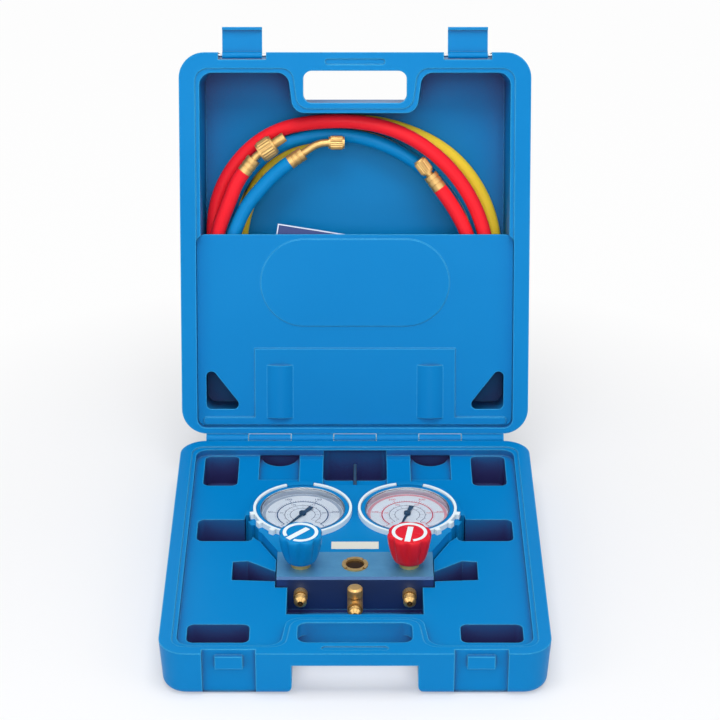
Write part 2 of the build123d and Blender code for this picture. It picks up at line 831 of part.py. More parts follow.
# ================================================================ pocket panel
with BuildPart() as pocket_panel:
    with BuildSketch(lid_plane(panel_face)):
        with Locations((0, (panel_bottom + panel_top) / 2 - half_length)):
            RectangleRounded(panel_width, panel_top - panel_bottom, panel_corner)
    extrude(amount=-panel_thickness)
    with BuildSketch(lid_plane(panel_face)):
        with Locations((0, oval_centre - half_length)):
            SlotOverall(oval_width, oval_height)
    extrude(amount=oval_proud, taper=30)
    with BuildSketch(lid_plane(panel_face)):
        with Locations((0, (panel_bottom + 1 + apron_top) / 2 - half_length)):
            Rectangle(2 * apron_half, apron_top - panel_bottom - 1)
        with Locations((0, (panel_bottom + 1 + apron_foot) / 2 - half_length)):
            RectangleRounded(panel_width - 10, apron_foot - panel_bottom - 1, 3)
    extrude(amount=apron_proud, taper=20)
    for side in (-1, 1):
        base_point = lid_point(side * pad_centre, pad_bottom, panel_face - apron_proud + 0.5)
        with BuildSketch(Plane(base_point, x_dir=(1, 0, 0), z_dir=tuple(lid_up))):
            with BuildLine():
                ThreePointArc((-pad_width / 2, 0), (0, -pad_proud - 0.5), (pad_width / 2, 0))
                Line((pad_width / 2, 0), (-pad_width / 2, 0))
            make_face()
        extrude(amount=pad_top - pad_bottom)
    with BuildSketch(lid_plane(0)):
        for side in (-1, 1):
            with BuildLine():
                Polyline(*[(side * x, u - half_length) for x, u in vent_corners], close=True)
            make_face()
        fillet(vertices(), vent_radius)
    extrude(amount=-panel_face - panel_thickness - 1, mode=Mode.SUBTRACT)
save(pocket_panel, "pocket_panel")

# ================================================================ latches
for side, name in ((-1, "latch_left"), (1, "latch_right")):
    with BuildPart() as latch:
        with BuildSketch(lid_side_plane(side * latch_x - latch_width / 2)):
            pivot = (hinge_offset + case_length - latch_pivot_inset, -latch_pivot_depth)
            with Locations(pivot):
                Circle(latch_barrel_radius)
            with BuildLine():
                plate_face = pivot[1] - latch_plate_offset
                Polyline(
                    (pivot[0], plate_face),
                    (pivot[0] + latch_length - latch_lip, plate_face),
                    (pivot[0] + latch_length - latch_lip, plate_face + latch_lip_reach),
                    (pivot[0] + latch_length, plate_face + latch_lip_reach),
                    (pivot[0] + latch_length, plate_face - latch_plate),
                    (pivot[0], plate_face - latch_plate),
                    close=True,
                )
            make_face()
            with Locations(pivot):
                Circle(latch_pin_radius + running_clearance, mode=Mode.SUBTRACT)
        extrude(amount=latch_width)
    save(latch, name)

with BuildPart() as latch_pins:
    for side in (-1, 1):
        with BuildSketch(lid_side_plane(side * latch_x - latch_pin_half)):
            with Locations((hinge_offset + case_length - latch_pivot_inset, -latch_pivot_depth)):
                Circle(latch_pin_radius)
        extrude(amount=2 * latch_pin_half)
save(latch_pins, "latch_pins")

# ================================================================ manifold block
block_top = manifold_floor + block_height
block_front = block_y - block_depth / 2
block_back = block_y + block_depth / 2
port_z = manifold_floor + port_height

with BuildPart() as manifold_block:
    with BuildSketch(Plane.XY.offset(manifold_floor)):
        with Locations((0, block_y)):
            Rectangle(block_width, block_depth)
    extrude(amount=block_height)
    chamfer(
        manifold_block.edges().filter_by(Axis.X).group_by(Axis.Z)[-1].sort_by(Axis.Y)[0],
        block_chamfer,
    )
    # valve wells, from the bonnet thread down to the seat
    with BuildSketch(Plane.XY.offset(block_top)):
        with Locations((-side_pitch, valve_y), (side_pitch, valve_y)):
            Circle(bonnet_thread_radius + seat_gap / 2)
    extrude(amount=-bonnet_thread_length - 1, mode=Mode.SUBTRACT)
    with BuildSketch(Plane.XY.offset(block_top)):
        with Locations((-side_pitch, valve_y), (side_pitch, valve_y)):
            Circle(stem_radius + seat_gap)
    extrude(amount=port_z - block_top, mode=Mode.SUBTRACT)
    # sight glass well
    with BuildSketch(Plane.XY.offset(block_top)):
        with Locations((0, valve_y)):
            Circle(sight_radius + seat_gap / 2)
    extrude(amount=-sight_seat, mode=Mode.SUBTRACT)
    with BuildSketch(Plane.XY.offset(block_top)):
        with Locations((0, valve_y)):
            Circle(sight_bore)
    extrude(amount=port_z - block_top, mode=Mode.SUBTRACT)
    # cross gallery between the valves, and the bores for ports and gauges
    with BuildSketch(Plane.YZ.offset(-side_pitch)):
        with Locations((valve_y, port_z)):
            Circle(gallery_radius)
    extrude(amount=2 * side_pitch, mode=Mode.SUBTRACT)
    with BuildSketch(Plane.XZ.offset(-block_front)):
        with Locations((-side_pitch, port_z), (0, port_z), (side_pitch, port_z)):
            Circle(port_root_radius + running_clearance)
    extrude(amount=-port_root_length, mode=Mode.SUBTRACT)
    with BuildSketch(Plane.XZ.offset(-block_front)):
        with Locations((-side_pitch, port_z), (0, port_z), (side_pitch, port_z)):
            Circle(flare_bore)
    extrude(amount=block_front - valve_y, mode=Mode.SUBTRACT)
    with BuildSketch(Plane.XZ.offset(-block_back)):
        with Locations((-side_pitch, port_z), (side_pitch, port_z)):
            Circle(gauge_stem_radius + running_clearance)
    extrude(amount=gauge_stem_in_block, mode=Mode.SUBTRACT)
    with BuildSketch(Plane.XZ.offset(-block_back)):
        with Locations((-side_pitch, port_z), (side_pitch, port_z)):
            Circle(flare_bore)
    extrude(amount=block_back - valve_y, mode=Mode.SUBTRACT)
save(manifold_block, "manifold_block")

# ================================================================ gauge housing
can_bottom = manifold_floor + can_floor
can_top = block_top + boot_collar_height + can_lip
well_radius = can_radius + seat_gap
collar_outer = ring_inner_radius - seat_gap
gauge_places = [(-side_pitch, gauge_y), (side_pitch, gauge_y)]
hull_back = gauge_y + boot_radius

with BuildPart() as gauge_housing:
    with BuildSketch(Plane.XY.offset(manifold_floor)):
        add(housing_outline(0))
        with Locations((0, block_y)):
            Rectangle(case_width, block_depth, mode=Mode.SUBTRACT)
    extrude(amount=block_height)
    # grip teeth round the outer side of each boot
    for side in (-1, 1):
        with BuildSketch(Plane.XY.offset(manifold_floor + grip_tooth_foot)):
            with Locations((side * side_pitch, gauge_y)):
                for angle in grip_angles(side):
                    with PolarLocations(boot_radius, 1, angle):
                        Rectangle(2 * grip_tooth_reach, grip_tooth_width)
        extrude(amount=block_height - grip_tooth_foot)
    # collar inside each bezel ring, and the lug that fills the ring's gap
    with BuildSketch(Plane.XY.offset(block_top)):
        with Locations(*gauge_places):
            Circle(collar_outer)
    extrude(amount=boot_collar_height)
    for side in (-1, 1):
        with BuildSketch(Plane.XY.offset(block_top)):
            with Locations((side * side_pitch, gauge_y)):
                add(ring_sector(collar_outer - 1, lug_outer, lug_angle(side), ring_gap_half))
        extrude(amount=ring_height)
    with BuildSketch(Plane.XY.offset(can_bottom)):
        with Locations(*gauge_places):
            Circle(well_radius)
    extrude(amount=block_height + ring_height, mode=Mode.SUBTRACT)
    # hollow under the web between the boots
    with BuildSketch(Plane.XY.offset(manifold_floor)):
        with Locations((0, (block_back + gauge_y) / 2)):
            Rectangle(2 * web_pocket_half, gauge_y - block_back - 2 * housing_wall)
        with Locations(*gauge_places):
            Circle(well_radius + housing_wall, mode=Mode.SUBTRACT)
    extrude(amount=block_height - housing_wall, mode=Mode.SUBTRACT)
    # passages for the gauge stems, and the hole for the hook's bush
    with BuildSketch(Plane.XZ.offset(-gauge_y)):
        with Locations((-side_pitch, port_z), (side_pitch, port_z)):
            Circle(gauge_stem_radius + seat_gap)
    extrude(amount=gauge_y - block_back + 1, mode=Mode.SUBTRACT)
    with BuildSketch(Plane.XZ.offset(-hull_back)):
        with Locations((0, hook_height)):
            Circle(bush_radius + running_clearance)
    extrude(amount=bush_depth, mode=Mode.SUBTRACT)
save(gauge_housing, "gauge_housing")

# ================================================================ gauges, low then high
dial_face = can_top - dial_drop
dial_bottom = dial_face - dial_thickness
lens_bottom = can_top - lens_seat
needle_z = dial_face + needle_lift
socket_z = manifold_floor + socket_bottom
tube_centre_z = manifold_floor + (socket_bottom + socket_top) / 2
dial_fit = 0.1
needle_angles = {-1: low_needle_angle, 1: high_needle_angle}
bar_angles = {-1: low_bar_angle, 1: high_bar_angle}
ring_tooth_angles = [193.0, 214.0, 235.0]
ring_tooth_width = 5.0

for side, rank in ((-1, "low"), (1, "high")):
    place = (side * side_pitch, gauge_y)
    centre_x = side * side_pitch

    with BuildPart() as bezel_ring:
        with BuildSketch(Plane.XY.offset(block_top)):
            with Locations(place):
                Circle(ring_outer_radius)
                for tooth_angle in ring_tooth_angles:
                    turned = tooth_angle if side < 0 else 180 - tooth_angle
                    with PolarLocations(ring_outer_radius, 1, turned):
                        Rectangle(2 * ring_tooth_reach, ring_tooth_width)
                Circle(ring_inner_radius, mode=Mode.SUBTRACT)
                add(
                    ring_sector(0, 2 * ring_outer_radius, lug_angle(side), ring_gap_half + ring_gap_play),
                    mode=Mode.SUBTRACT,
                )
        extrude(amount=ring_height)
    save(bezel_ring, f"{rank}_bezel_ring")

    with BuildPart() as gauge_case:
        with BuildSketch(Plane.XY.offset(can_bottom)):
            with Locations(place):
                Circle(can_radius)
        extrude(amount=can_top - can_bottom)
        for bottom, radius in (
            (can_bottom + can_wall, can_radius - can_sheet),
            (dial_bottom, dial_radius),
            (lens_bottom, dial_radius + lens_overlap),
        ):
            with BuildSketch(Plane.XY.offset(bottom)):
                with Locations(place):
                    Circle(radius)
            extrude(amount=can_top - bottom, mode=Mode.SUBTRACT)
        with BuildSketch(Plane.XZ.offset(-gauge_y)):
            with Locations((centre_x, port_z)):
                Circle(gauge_stem_radius + seat_gap)
        extrude(amount=can_radius + 1, mode=Mode.SUBTRACT)
    save(gauge_case, f"{rank}_gauge_case")

    with BuildPart() as dial:
        with BuildSketch(Plane.XY.offset(dial_bottom)):
            with Locations(place):
                Circle(dial_radius - dial_fit)
                Circle(dial_hole, mode=Mode.SUBTRACT)
        extrude(amount=dial_thickness)
    save(dial, f"{rank}_dial")

    with BuildPart() as lens:
        with BuildSketch(Plane.XY.offset(lens_bottom)):
            with Locations(place):
                Circle(dial_radius + lens_overlap - dial_fit)
        extrude(amount=lens_thickness)
    save(lens, f"{rank}_lens")

    # socket: brass block and stem, screwed into the manifold
    with BuildPart() as socket:
        with BuildSketch(Plane.XY.offset(socket_z)):
            with Locations((centre_x, gauge_y - (socket_near + socket_far) / 2)):
                Rectangle(2 * socket_half, socket_far - socket_near)
        extrude(amount=socket_top - socket_bottom)
        with BuildSketch(Plane.XZ.offset(-(gauge_y - socket_far))):
            with Locations((centre_x, port_z)):
                Circle(gauge_stem_radius)
        extrude(amount=gauge_y - socket_far - block_back + gauge_stem_in_block)
        with BuildSketch(Plane.XZ.offset(-(gauge_y - socket_near - flare_bore))):
            with Locations((centre_x, port_z)):
                Circle(flare_bore)
        extrude(amount=gauge_y - block_back, mode=Mode.SUBTRACT)
    save(socket, f"{rank}_gauge_socket")

    with BuildPart() as bourdon_tube:
        with BuildSketch(Plane.XY.offset(tube_centre_z - tube_height / 2)):
            with Locations(place):
                add(
                    ring_sector(
                        tube_radius - tube_thickness / 2,
                        tube_radius + tube_thickness / 2,
                        (tube_sweep_end - 90) / 2,
                        (tube_sweep_end + 90) / 2,
                    )
                )
            with Locations((centre_x, gauge_y - tube_radius)):
                Rectangle(2 * socket_half, 2 * tube_thickness, mode=Mode.SUBTRACT)
        extrude(amount=tube_height)
    save(bourdon_tube, f"{rank}_bourdon_tube")

    # movement: two plates on pillars, the lower one screwed under the socket
    movement_low = socket_z - movement_plate
    with BuildPart() as movement:
        with BuildSketch(Plane.XY.offset(movement_low)):
            with Locations((centre_x, gauge_y + (movement_back - socket_far) / 2)):
                Rectangle(2 * movement_half, movement_back + socket_far)
        extrude(amount=movement_plate)
        with BuildSketch(Plane.XY.offset(socket_z)):
            for x_side in (-1, 1):
                for y_side in (-1, 1):
                    with Locations(
                        (
                            centre_x + x_side * (movement_half - 2 * pillar_radius),
                            gauge_y + y_side * (movement_back - 2 * pillar_radius),
                        )
                    ):
                        Circle(pillar_radius)
        extrude(amount=movement_gap)
        with BuildSketch(Plane.XY.offset(socket_z + movement_gap)):
            with Locations(place):
                Rectangle(2 * movement_half, 2 * movement_back)
        extrude(amount=movement_plate)
        with BuildSketch(Plane.XY.offset(movement_low)):
            with Locations(place):
                Circle(arbor_radius + running_clearance)
        extrude(amount=block_height, mode=Mode.SUBTRACT)
    save(movement, f"{rank}_movement")

    with BuildPart() as needle:
        turned = Plane((centre_x, gauge_y, needle_z)).rotated((0, 0, needle_angles[side]))
        with BuildSketch(turned):
            with BuildLine():
                Polyline(
                    (needle_reach, 0.3),
                    (0, 1.3),
                    (-needle_tail, 2.2),
                    (-needle_tail, -2.2),
                    (0, -1.3),
                    (needle_reach, -0.3),
                    close=True,
                )
            make_face()
        extrude(amount=needle_thickness)
        with BuildSketch(turned):
            Circle(needle_hub)
        extrude(amount=needle_hub_height)
        with BuildSketch(Plane.XY.offset(movement_low)):
            with Locations(place):
                Circle(arbor_radius)
        extrude(amount=needle_z - movement_low)
    save(needle, f"{rank}_needle")

    # ------------------------------------------------------------ valve
    valve_place = (centre_x, valve_y)
    with BuildPart() as bonnet:
        with BuildSketch(Plane.XY.offset(block_top - bonnet_thread_length)):
            with Locations(valve_place):
                Circle(bonnet_thread_radius)
        extrude(amount=bonnet_thread_length)
        with BuildSketch(Plane.XY.offset(block_top)):
            with Locations(valve_place):
                Circle(bonnet_radius)
        extrude(amount=bonnet_height)
        chamfer(bonnet.faces().sort_by(Axis.Z)[-1].edges(), bonnet_edge)
        with BuildSketch(Plane.XY.offset(manifold_floor)):
            with Locations(valve_place):
                Circle(stem_radius + running_clearance)
        extrude(amount=block_height + bonnet_height, mode=Mode.SUBTRACT)
    save(bonnet, f"{rank}_valve_bonnet")

    knob_foot = block_top + bonnet_height + knob_lift
    with BuildPart() as stem:
        with BuildSketch(Plane(origin=(centre_x, valve_y, 0), x_dir=(1, 0, 0), z_dir=(0, -1, 0))):
            with BuildLine():
                Polyline(
                    (0, port_z + stem_tip),
                    (stem_tip_radius, port_z + stem_tip),
                    (stem_radius, port_z + stem_tip + stem_cone),
                    (stem_radius, knob_foot + stem_in_knob),
                    (0, knob_foot + stem_in_knob),
                    close=True,
                )
            make_face()
        revolve(axis=Axis((centre_x, valve_y, 0), (0, 0, 1)))
    save(stem, f"{rank}_valve_stem")

    knob_top = knob_foot + knob_height
    with BuildPart() as knob:
        with BuildSketch(Plane(origin=(centre_x, valve_y, 0), x_dir=(1, 0, 0), z_dir=(0, -1, 0))):
            with BuildLine():
                Polyline(
                    (0, knob_foot),
                    (knob_foot_radius, knob_foot),
                    (knob_foot_radius + 1, knob_foot + knob_waist),
                    (knob_radius, knob_foot + 2 * knob_waist),
                    (knob_radius, knob_top),
                    (0, knob_top),
                    close=True,
                )
            make_face()
        revolve(axis=Axis((centre_x, valve_y, 0), (0, 0, 1)))
        fillet(knob.faces().sort_by(Axis.Z)[-1].edges(), knob_edge)
        with BuildSketch(Plane.XY.offset(knob_foot)):
            with Locations(valve_place):
                with PolarLocations(knob_radius + knob_flute_offset, knob_lobes, bar_angles[side]):
                    Circle(knob_flute)
        extrude(amount=knob_height, mode=Mode.SUBTRACT)
        with BuildSketch(Plane.XY.offset(knob_top - insert_depth)):
            with Locations(valve_place):
                add(insert_outline(seat_gap / 2, bar_angles[side]))
        extrude(amount=insert_depth, mode=Mode.SUBTRACT)
        with BuildSketch(Plane.XY.offset(knob_foot)):
            with Locations(valve_place):
                Circle(stem_radius + running_clearance)
        extrude(amount=stem_in_knob + seat_gap, mode=Mode.SUBTRACT)
    save(knob, f"{rank}_knob")

    with BuildPart() as insert:
        with BuildSketch(Plane.XY.offset(knob_top - insert_depth)):
            with Locations(valve_place):
                add(insert_outline(0, bar_angles[side]))
        extrude(amount=insert_depth + insert_proud)
    save(insert, f"{rank}_knob_insert")

    # side flare port, screwed into the front of the block
    with BuildPart() as side_port:
        with BuildSketch(Plane.YZ.offset(centre_x)):
            with BuildLine():
                Polyline(*port_profile(flare_collar, flare_collar_radius, flare_length), close=True)
            make_face()
        revolve(axis=Axis((centre_x, 0, port_z), (0, 1, 0)))
    save(side_port, f"{rank}_side_port")

# ================================================================ sight glass
sight_z = block_top - sight_seat

with BuildPart() as sight_ring:
    with BuildSketch(Plane.XY.offset(sight_z)):
        with Locations((0, valve_y)):
            Circle(sight_radius)
    extrude(amount=sight_seat + sight_ring_proud)
    with BuildSketch(Plane.XY.offset(sight_z)):
        with Locations((0, valve_y)):
            Circle(sight_ring_inner)
    extrude(amount=sight_seat + sight_ring_proud, mode=Mode.SUBTRACT)
    with BuildSketch(Plane.XY.offset(sight_z)):
        with Locations((0, valve_y)):
            Circle(sight_glass_radius + dial_fit)
    extrude(amount=sight_glass_thickness, mode=Mode.SUBTRACT)
    with BuildSketch(Plane.XY.offset(block_top)):
        with Locations((0, valve_y)):
            with PolarLocations(sight_radius, 4, 45):
                Rectangle(2 * sight_notch, sight_notch)
    extrude(amount=sight_ring_proud, mode=Mode.SUBTRACT)
save(sight_ring, "sight_glass_ring")

with BuildPart() as sight_glass:
    with BuildSketch(Plane.XY.offset(sight_z)):
        with Locations((0, valve_y)):
            Circle(sight_glass_radius)
    extrude(amount=sight_glass_thickness)
save(sight_glass, "sight_glass")

# ================================================================ centre port
with BuildPart() as centre_tee:
    with BuildSketch(Plane.YZ):
        with BuildLine():
            Polyline(*port_profile(tee_length, tee_radius, tee_length + tee_nose), close=True)
        make_face()
    revolve(axis=Axis((0, 0, port_z), (0, 1, 0)))
    with BuildSketch(Plane.XY.offset(port_z)):
        with Locations((0, charge_y)):
            Circle(charge_radius)
    extrude(amount=charge_top)
    with BuildSketch(Plane.XY.offset(port_z)):
        with Locations((0, charge_y)):
            Circle(charge_bore)
    extrude(amount=charge_top, mode=Mode.SUBTRACT)
save(centre_tee, "centre_tee")

with BuildPart() as charge_core:
    with BuildSketch(Plane.XY.offset(port_z + flare_bore + 1)):
        with Locations((0, charge_y)):
            Circle(charge_core_radius)
    extrude(amount=charge_top - flare_bore - 2)
save(charge_core, "charge_valve_core")

with BuildPart() as charge_cap:
    with BuildSketch(Plane.XY.offset(port_z + cap_foot)):
        with Locations((0, charge_y)):
            Circle(cap_radius)
    extrude(amount=cap_top - cap_foot)
    fillet(charge_cap.faces().sort_by(Axis.Z)[-1].edges(), cap_dome)
    with BuildSketch(Plane.XY.offset(port_z + cap_foot)):
        with Locations((0, charge_y)):
            Circle(charge_radius + dial_fit)
    extrude(amount=charge_top - cap_foot, mode=Mode.SUBTRACT)
save(charge_cap, "charge_cap")

with BuildPart() as label_plate:
    with BuildSketch(Plane.XY.offset(block_top)):
        with Locations((0, label_y)):
            Rectangle(label_width, label_length)
    extrude(amount=label_thickness)
save(label_plate, "label_plate")

# ================================================================ hanging hook
with BuildPart() as hook_bush:
    with BuildSketch(Plane.XZ.offset(-(hull_back + bush_proud))):
        with Locations((0, hook_height)):
            Circle(bush_radius)
            Circle(hook_wire + running_clearance, mode=Mode.SUBTRACT)
    extrude(amount=bush_depth + bush_proud)
save(hook_bush, "hook_bush")

hook_start = hull_back - bush_depth + seat_gap
with BuildPart() as hook:
    with BuildLine(Plane.YZ):
        Line((hook_start, hook_height), (hook_shank_end, hook_height))
        ThreePointArc(
            (hook_shank_end, hook_height),
            (hook_shank_end + hook_radius, hook_height - hook_radius),
            (hook_shank_end, hook_height - 2 * hook_radius),
        )
        Line(
            (hook_shank_end, hook_height - 2 * hook_radius),
            (hook_tip, hook_height - 2 * hook_radius),
        )
    with BuildSketch(Plane(origin=(0, hook_start, hook_height), z_dir=(0, 1, 0))):
        Circle(hook_wire)
    sweep()
save(hook, "hook")

# ================================================================ hoses, coiled in the lid
for run, name in ((red_run, "red_hose"), (blue_run, "blue_hose"), (yellow_run, "yellow_hose")):
    corners = [lid_point(*run_corner(corner)) for corner in run]
    bends = []
    for before, corner, after in zip(corners, corners[1:], corners[2:]):
        half_turn = math.radians((corner - before).get_angle(after - corner)) / 2
        shorter = min((corner - before).length, (after - corner).length)
        bends.append(0.45 * shorter / math.tan(half_turn))
    with BuildPart() as hose:
        with BuildLine() as path:
            FilletPolyline(*corners, radius=bends)
        with BuildSketch(Plane(origin=corners[0], z_dir=tuple(corners[1] - corners[0]))):
            Circle(hose_radius)
        sweep()
    hose_length = sum(edge.length for edge in path.edges())
    print(f"{name} length {hose_length:.0f} corner radii {[round(bend) for bend in bends]}")
    save(hose, name)

red_front = hose_end(red_run, False)
red_back = hose_end(red_run, True)
blue_front = hose_end(blue_run, False)
blue_back = hose_end(blue_run, True)
yellow_front = hose_end(yellow_run, False)
yellow_back = hose_end(yellow_run, True)

with BuildPart() as red_ferrules:
    ferrule(red_front, 0)
    ferrule(red_back, ferrule_neck)
save(red_ferrules, "red_ferrules")

with BuildPart() as blue_ferrules:
    ferrule(blue_front, 0)
    ferrule(blue_back, ferrule_neck)
save(blue_ferrules, "blue_ferrules")

with BuildPart() as yellow_ferrules:
    ferrule(yellow_front, ferrule_neck)
    ferrule(yellow_back, ferrule_neck)
save(yellow_ferrules, "yellow_ferrules")

red_bend = further(red_front, ferrule_length + union_pipe)
red_union = further((*red_bend[:3], union_heading), union_pipe)
with BuildPart() as red_bent_pipe:
    bent_pipe(further(red_front, ferrule_length), red_bend, red_union)
save(red_bent_pipe, "red_bent_pipe")

blue_pipe_start = further(blue_front, ferrule_length)
blue_rise = (blue_nut_up - blue_pipe_start[1]) / math.sin(math.radians(blue_front[3]))
blue_bend = further(blue_pipe_start, blue_rise)
blue_union = further((*blue_bend[:3], 0), blue_nut_pipe)
with BuildPart() as blue_bent_pipe:
    bent_pipe(blue_pipe_start, blue_bend, blue_union)
save(blue_bent_pipe, "blue_bent_pipe")

with BuildPart() as red_nuts:
    knurled_nut(red_union, union_radius, union_length)
    knurled_nut(further(red_back, ferrule_length + ferrule_neck), nut_radius, nut_length)
save(red_nuts, "red_nuts")

with BuildPart() as blue_nuts:
    knurled_nut(blue_union, nut_radius, nut_length)
    knurled_nut(further(blue_back, ferrule_length + ferrule_neck), nut_radius, nut_length)
save(blue_nuts, "blue_nuts")

with BuildPart() as yellow_nuts:
    knurled_nut(further(yellow_front, ferrule_length + ferrule_neck), nut_radius, nut_length)
    knurled_nut(further(yellow_back, ferrule_length + ferrule_neck), nut_radius, nut_length)
save(yellow_nuts, "yellow_nuts")

with BuildPart() as red_adapter:
    turn_along(
        further(red_union, union_length),
        [
            (0, adapter_bore),
            (0, adapter_radius),
            (adapter_length, adapter_radius),
            (adapter_length, adapter_bore),
        ],
    )
save(red_adapter, "red_adapter")

# ================================================================ leaflet
with BuildPart() as leaflet:
    with BuildSketch(lid_plane(panel_face + panel_thickness)):
        with Locations(Location((leaflet_x, leaflet_u - half_length, 0), (0, 0, leaflet_turn))):
            Rectangle(leaflet_width, leaflet_height)
    extrude(amount=-leaflet_thickness)
save(leaflet, "leaflet")
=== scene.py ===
# Refrigerant manifold gauge set: the looks of the carrying case, the manifold with its two
# gauges, and the three charging hoses coiled in the lid. All lengths are in metres.
import math

import bmesh
import bpy
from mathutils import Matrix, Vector


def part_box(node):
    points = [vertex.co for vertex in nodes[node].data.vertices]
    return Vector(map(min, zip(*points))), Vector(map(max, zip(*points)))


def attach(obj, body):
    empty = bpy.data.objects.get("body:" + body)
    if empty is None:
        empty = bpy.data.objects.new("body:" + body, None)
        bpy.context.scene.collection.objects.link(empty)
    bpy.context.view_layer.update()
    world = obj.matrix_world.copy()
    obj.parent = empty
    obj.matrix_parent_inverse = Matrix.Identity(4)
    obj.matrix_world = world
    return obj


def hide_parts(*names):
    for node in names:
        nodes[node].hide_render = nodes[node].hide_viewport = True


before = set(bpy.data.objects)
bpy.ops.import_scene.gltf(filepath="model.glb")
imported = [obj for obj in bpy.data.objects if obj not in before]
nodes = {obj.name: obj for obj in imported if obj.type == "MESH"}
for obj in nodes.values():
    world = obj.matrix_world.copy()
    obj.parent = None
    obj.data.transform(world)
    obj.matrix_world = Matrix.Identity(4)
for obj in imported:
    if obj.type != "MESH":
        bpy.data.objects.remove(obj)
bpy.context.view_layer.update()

# ---------------------------------------------------------------- the table top and the light
# The set stands on a plain white table in soft, even daylight, as small goods are shown. A wide
# window of light overhead and in front does most of the work, with a weaker one at each side.
table_half = 6.0
table_colour = (0.88, 0.88, 0.89, 1)
near_glow = 0.30
far_glow = 0.96
glow_start = 0.20
glow_end = 0.62


def new_material(name):
    """An empty node material and its Principled shader, wired to the output."""
    material = bpy.data.materials.new(name)
    material.use_nodes = True
    tree = material.node_tree
    return material, tree, tree.nodes["Principled BSDF"]


def add_node(tree, kind, **sockets):
    """A shader node with its input sockets set by name."""
    node = tree.nodes.new(kind)
    for socket, value in sockets.items():
        node.inputs[socket.replace("_", " ")].default_value = value
    return node


def add_maths(tree, operation, *values):
    """A math node; a value that is a socket is linked, a number is set."""
    node = tree.nodes.new("ShaderNodeMath")
    node.operation = operation
    for socket, value in zip(node.inputs, values):
        if isinstance(value, (int, float)):
            socket.default_value = value
        else:
            tree.links.new(value, socket)
    return node.outputs[0]


def seen_directly(tree):
    """1 for what the eye sees directly, in a mirror or through glass."""
    rays = tree.nodes.new("ShaderNodeLightPath").outputs
    mirror = add_maths(tree, "MAXIMUM", rays["Is Glossy Ray"], rays["Is Transmission Ray"])
    return add_maths(tree, "MAXIMUM", rays["Is Camera Ray"], mirror)


def mesh_object(name, build):
    """A new mesh object in the row frame, its shape made by build(bmesh)."""
    mesh = bpy.data.meshes.new(name)
    work = bmesh.new()
    build(work)
    work.to_mesh(mesh)
    work.free()
    thing = bpy.data.objects.new(name, mesh)
    bpy.context.scene.collection.objects.link(thing)
    return thing


def flat_table(work):
    """One square face."""
    corners = [(-1, -1), (1, -1), (1, 1), (-1, 1)]
    work.faces.new([work.verts.new((x * table_half, y * table_half, 0)) for x, y in corners])


table_top = mesh_object("table_top", flat_table)
material, tree, surface = new_material("white_table")
surface.inputs["Base Color"].default_value = table_colour
surface.inputs["Roughness"].default_value = 0.9
# Seen directly, the table glows: painted light, weaker near the set so that the floor there stays
# darker and shows its shadow.
glow = add_node(tree, "ShaderNodeEmission", Color=(1, 1, 1, 1), Strength=1.0)
spot = tree.nodes.new("ShaderNodeTexCoord")
reach = tree.nodes.new("ShaderNodeVectorMath")
reach.operation = "LENGTH"
fade = add_node(
    tree,
    "ShaderNodeMapRange",
    From_Min=glow_start,
    From_Max=glow_end,
    To_Min=near_glow,
    To_Max=far_glow,
)
tree.links.new(spot.outputs["Object"], reach.inputs[0])
tree.links.new(reach.outputs["Value"], fade.inputs["Value"])
blend = tree.nodes.new("ShaderNodeMixShader")
direct_glow = add_maths(tree, "MULTIPLY", seen_directly(tree), fade.outputs[0])
tree.links.new(direct_glow, blend.inputs["Fac"])
tree.links.new(surface.outputs[0], blend.inputs[1])
tree.links.new(glow.outputs[0], blend.inputs[2])
tree.links.new(blend.outputs[0], tree.nodes["Material Output"].inputs["Surface"])
table_top.data.materials.append(material)

world = bpy.data.worlds.new("soft_daylight")
bpy.context.scene.world = world
world.use_nodes = True
sky = world.node_tree
sky_light = sky.nodes["Background"]
sky_light.inputs["Color"].default_value = (0.95, 0.97, 1.0, 1)
sky_light.inputs["Strength"].default_value = 0.42
sky_white = add_node(sky, "ShaderNodeBackground", Color=(1, 1, 1, 1), Strength=1.0)
sky_mix = sky.nodes.new("ShaderNodeMixShader")
sky.links.new(seen_directly(sky), sky_mix.inputs["Fac"])
sky.links.new(sky_light.outputs[0], sky_mix.inputs[1])
sky.links.new(sky_white.outputs[0], sky_mix.inputs[2])
sky.links.new(sky_mix.outputs[0], sky.nodes["World Output"].inputs["Surface"])

windows = [
    ("overhead_window", (0.0, -0.35, 1.9), (10, 0, 0), 1.0, 17.0),
    ("front_window", (0.0, -2.1, 1.35), (60, 0, 0), 1.3, 17.0),
    ("left_window", (-1.5, -1.0, 1.1), (62, 0, -56), 1.0, 5.5),
    ("right_window", (1.5, -1.0, 1.1), (62, 0, 56), 1.0, 4.0),
]
for name, place, turn, width, power in windows:
    lamp = bpy.data.lights.new(name, "AREA")
    lamp.size = width
    lamp.energy = power
    holder = bpy.data.objects.new(name, lamp)
    holder.location = place
    holder.rotation_euler = [math.radians(angle) for angle in turn]
    bpy.context.scene.collection.objects.link(holder)

bpy.context.scene.view_settings.view_transform = "Standard"
eye = bpy.data.cameras.new("eye")
eye.sensor_width = 36.0
eye.lens = 131.48
eye.shift_x = 0.00694
eye_holder = bpy.data.objects.new("eye", eye)
eye_holder.location = (0, -2.0066, 1.2711)
eye_holder.rotation_euler = (math.radians(62.46), 0, 0)
bpy.context.scene.collection.objects.link(eye_holder)
bpy.context.scene.camera = eye_holder

# ---------------------------------------------------------------- the carrying case
# Both halves are blow-moulded in one go from blue polyethylene: double walls, generous rounding
# and a fine orange-peel skin left by the tool. The pocket panel is a thinner moulding that snaps
# into the lid, and the latches are injection moulded from the same blue.
case_blue = (0.000, 0.228, 0.565, 1)
case_blue_deep = (0.000, 0.200, 0.515, 1)
# The hollow colour is painted shade for the case's hollows, and the edge colour is a painted
# highlight along its edges.
case_hollow_shade = (0.040, 0.034, 0.145, 1)
case_edge_highlight = (0.070, 0.480, 0.800, 1)
case_roughness = 0.40
skin_shine = 0.10


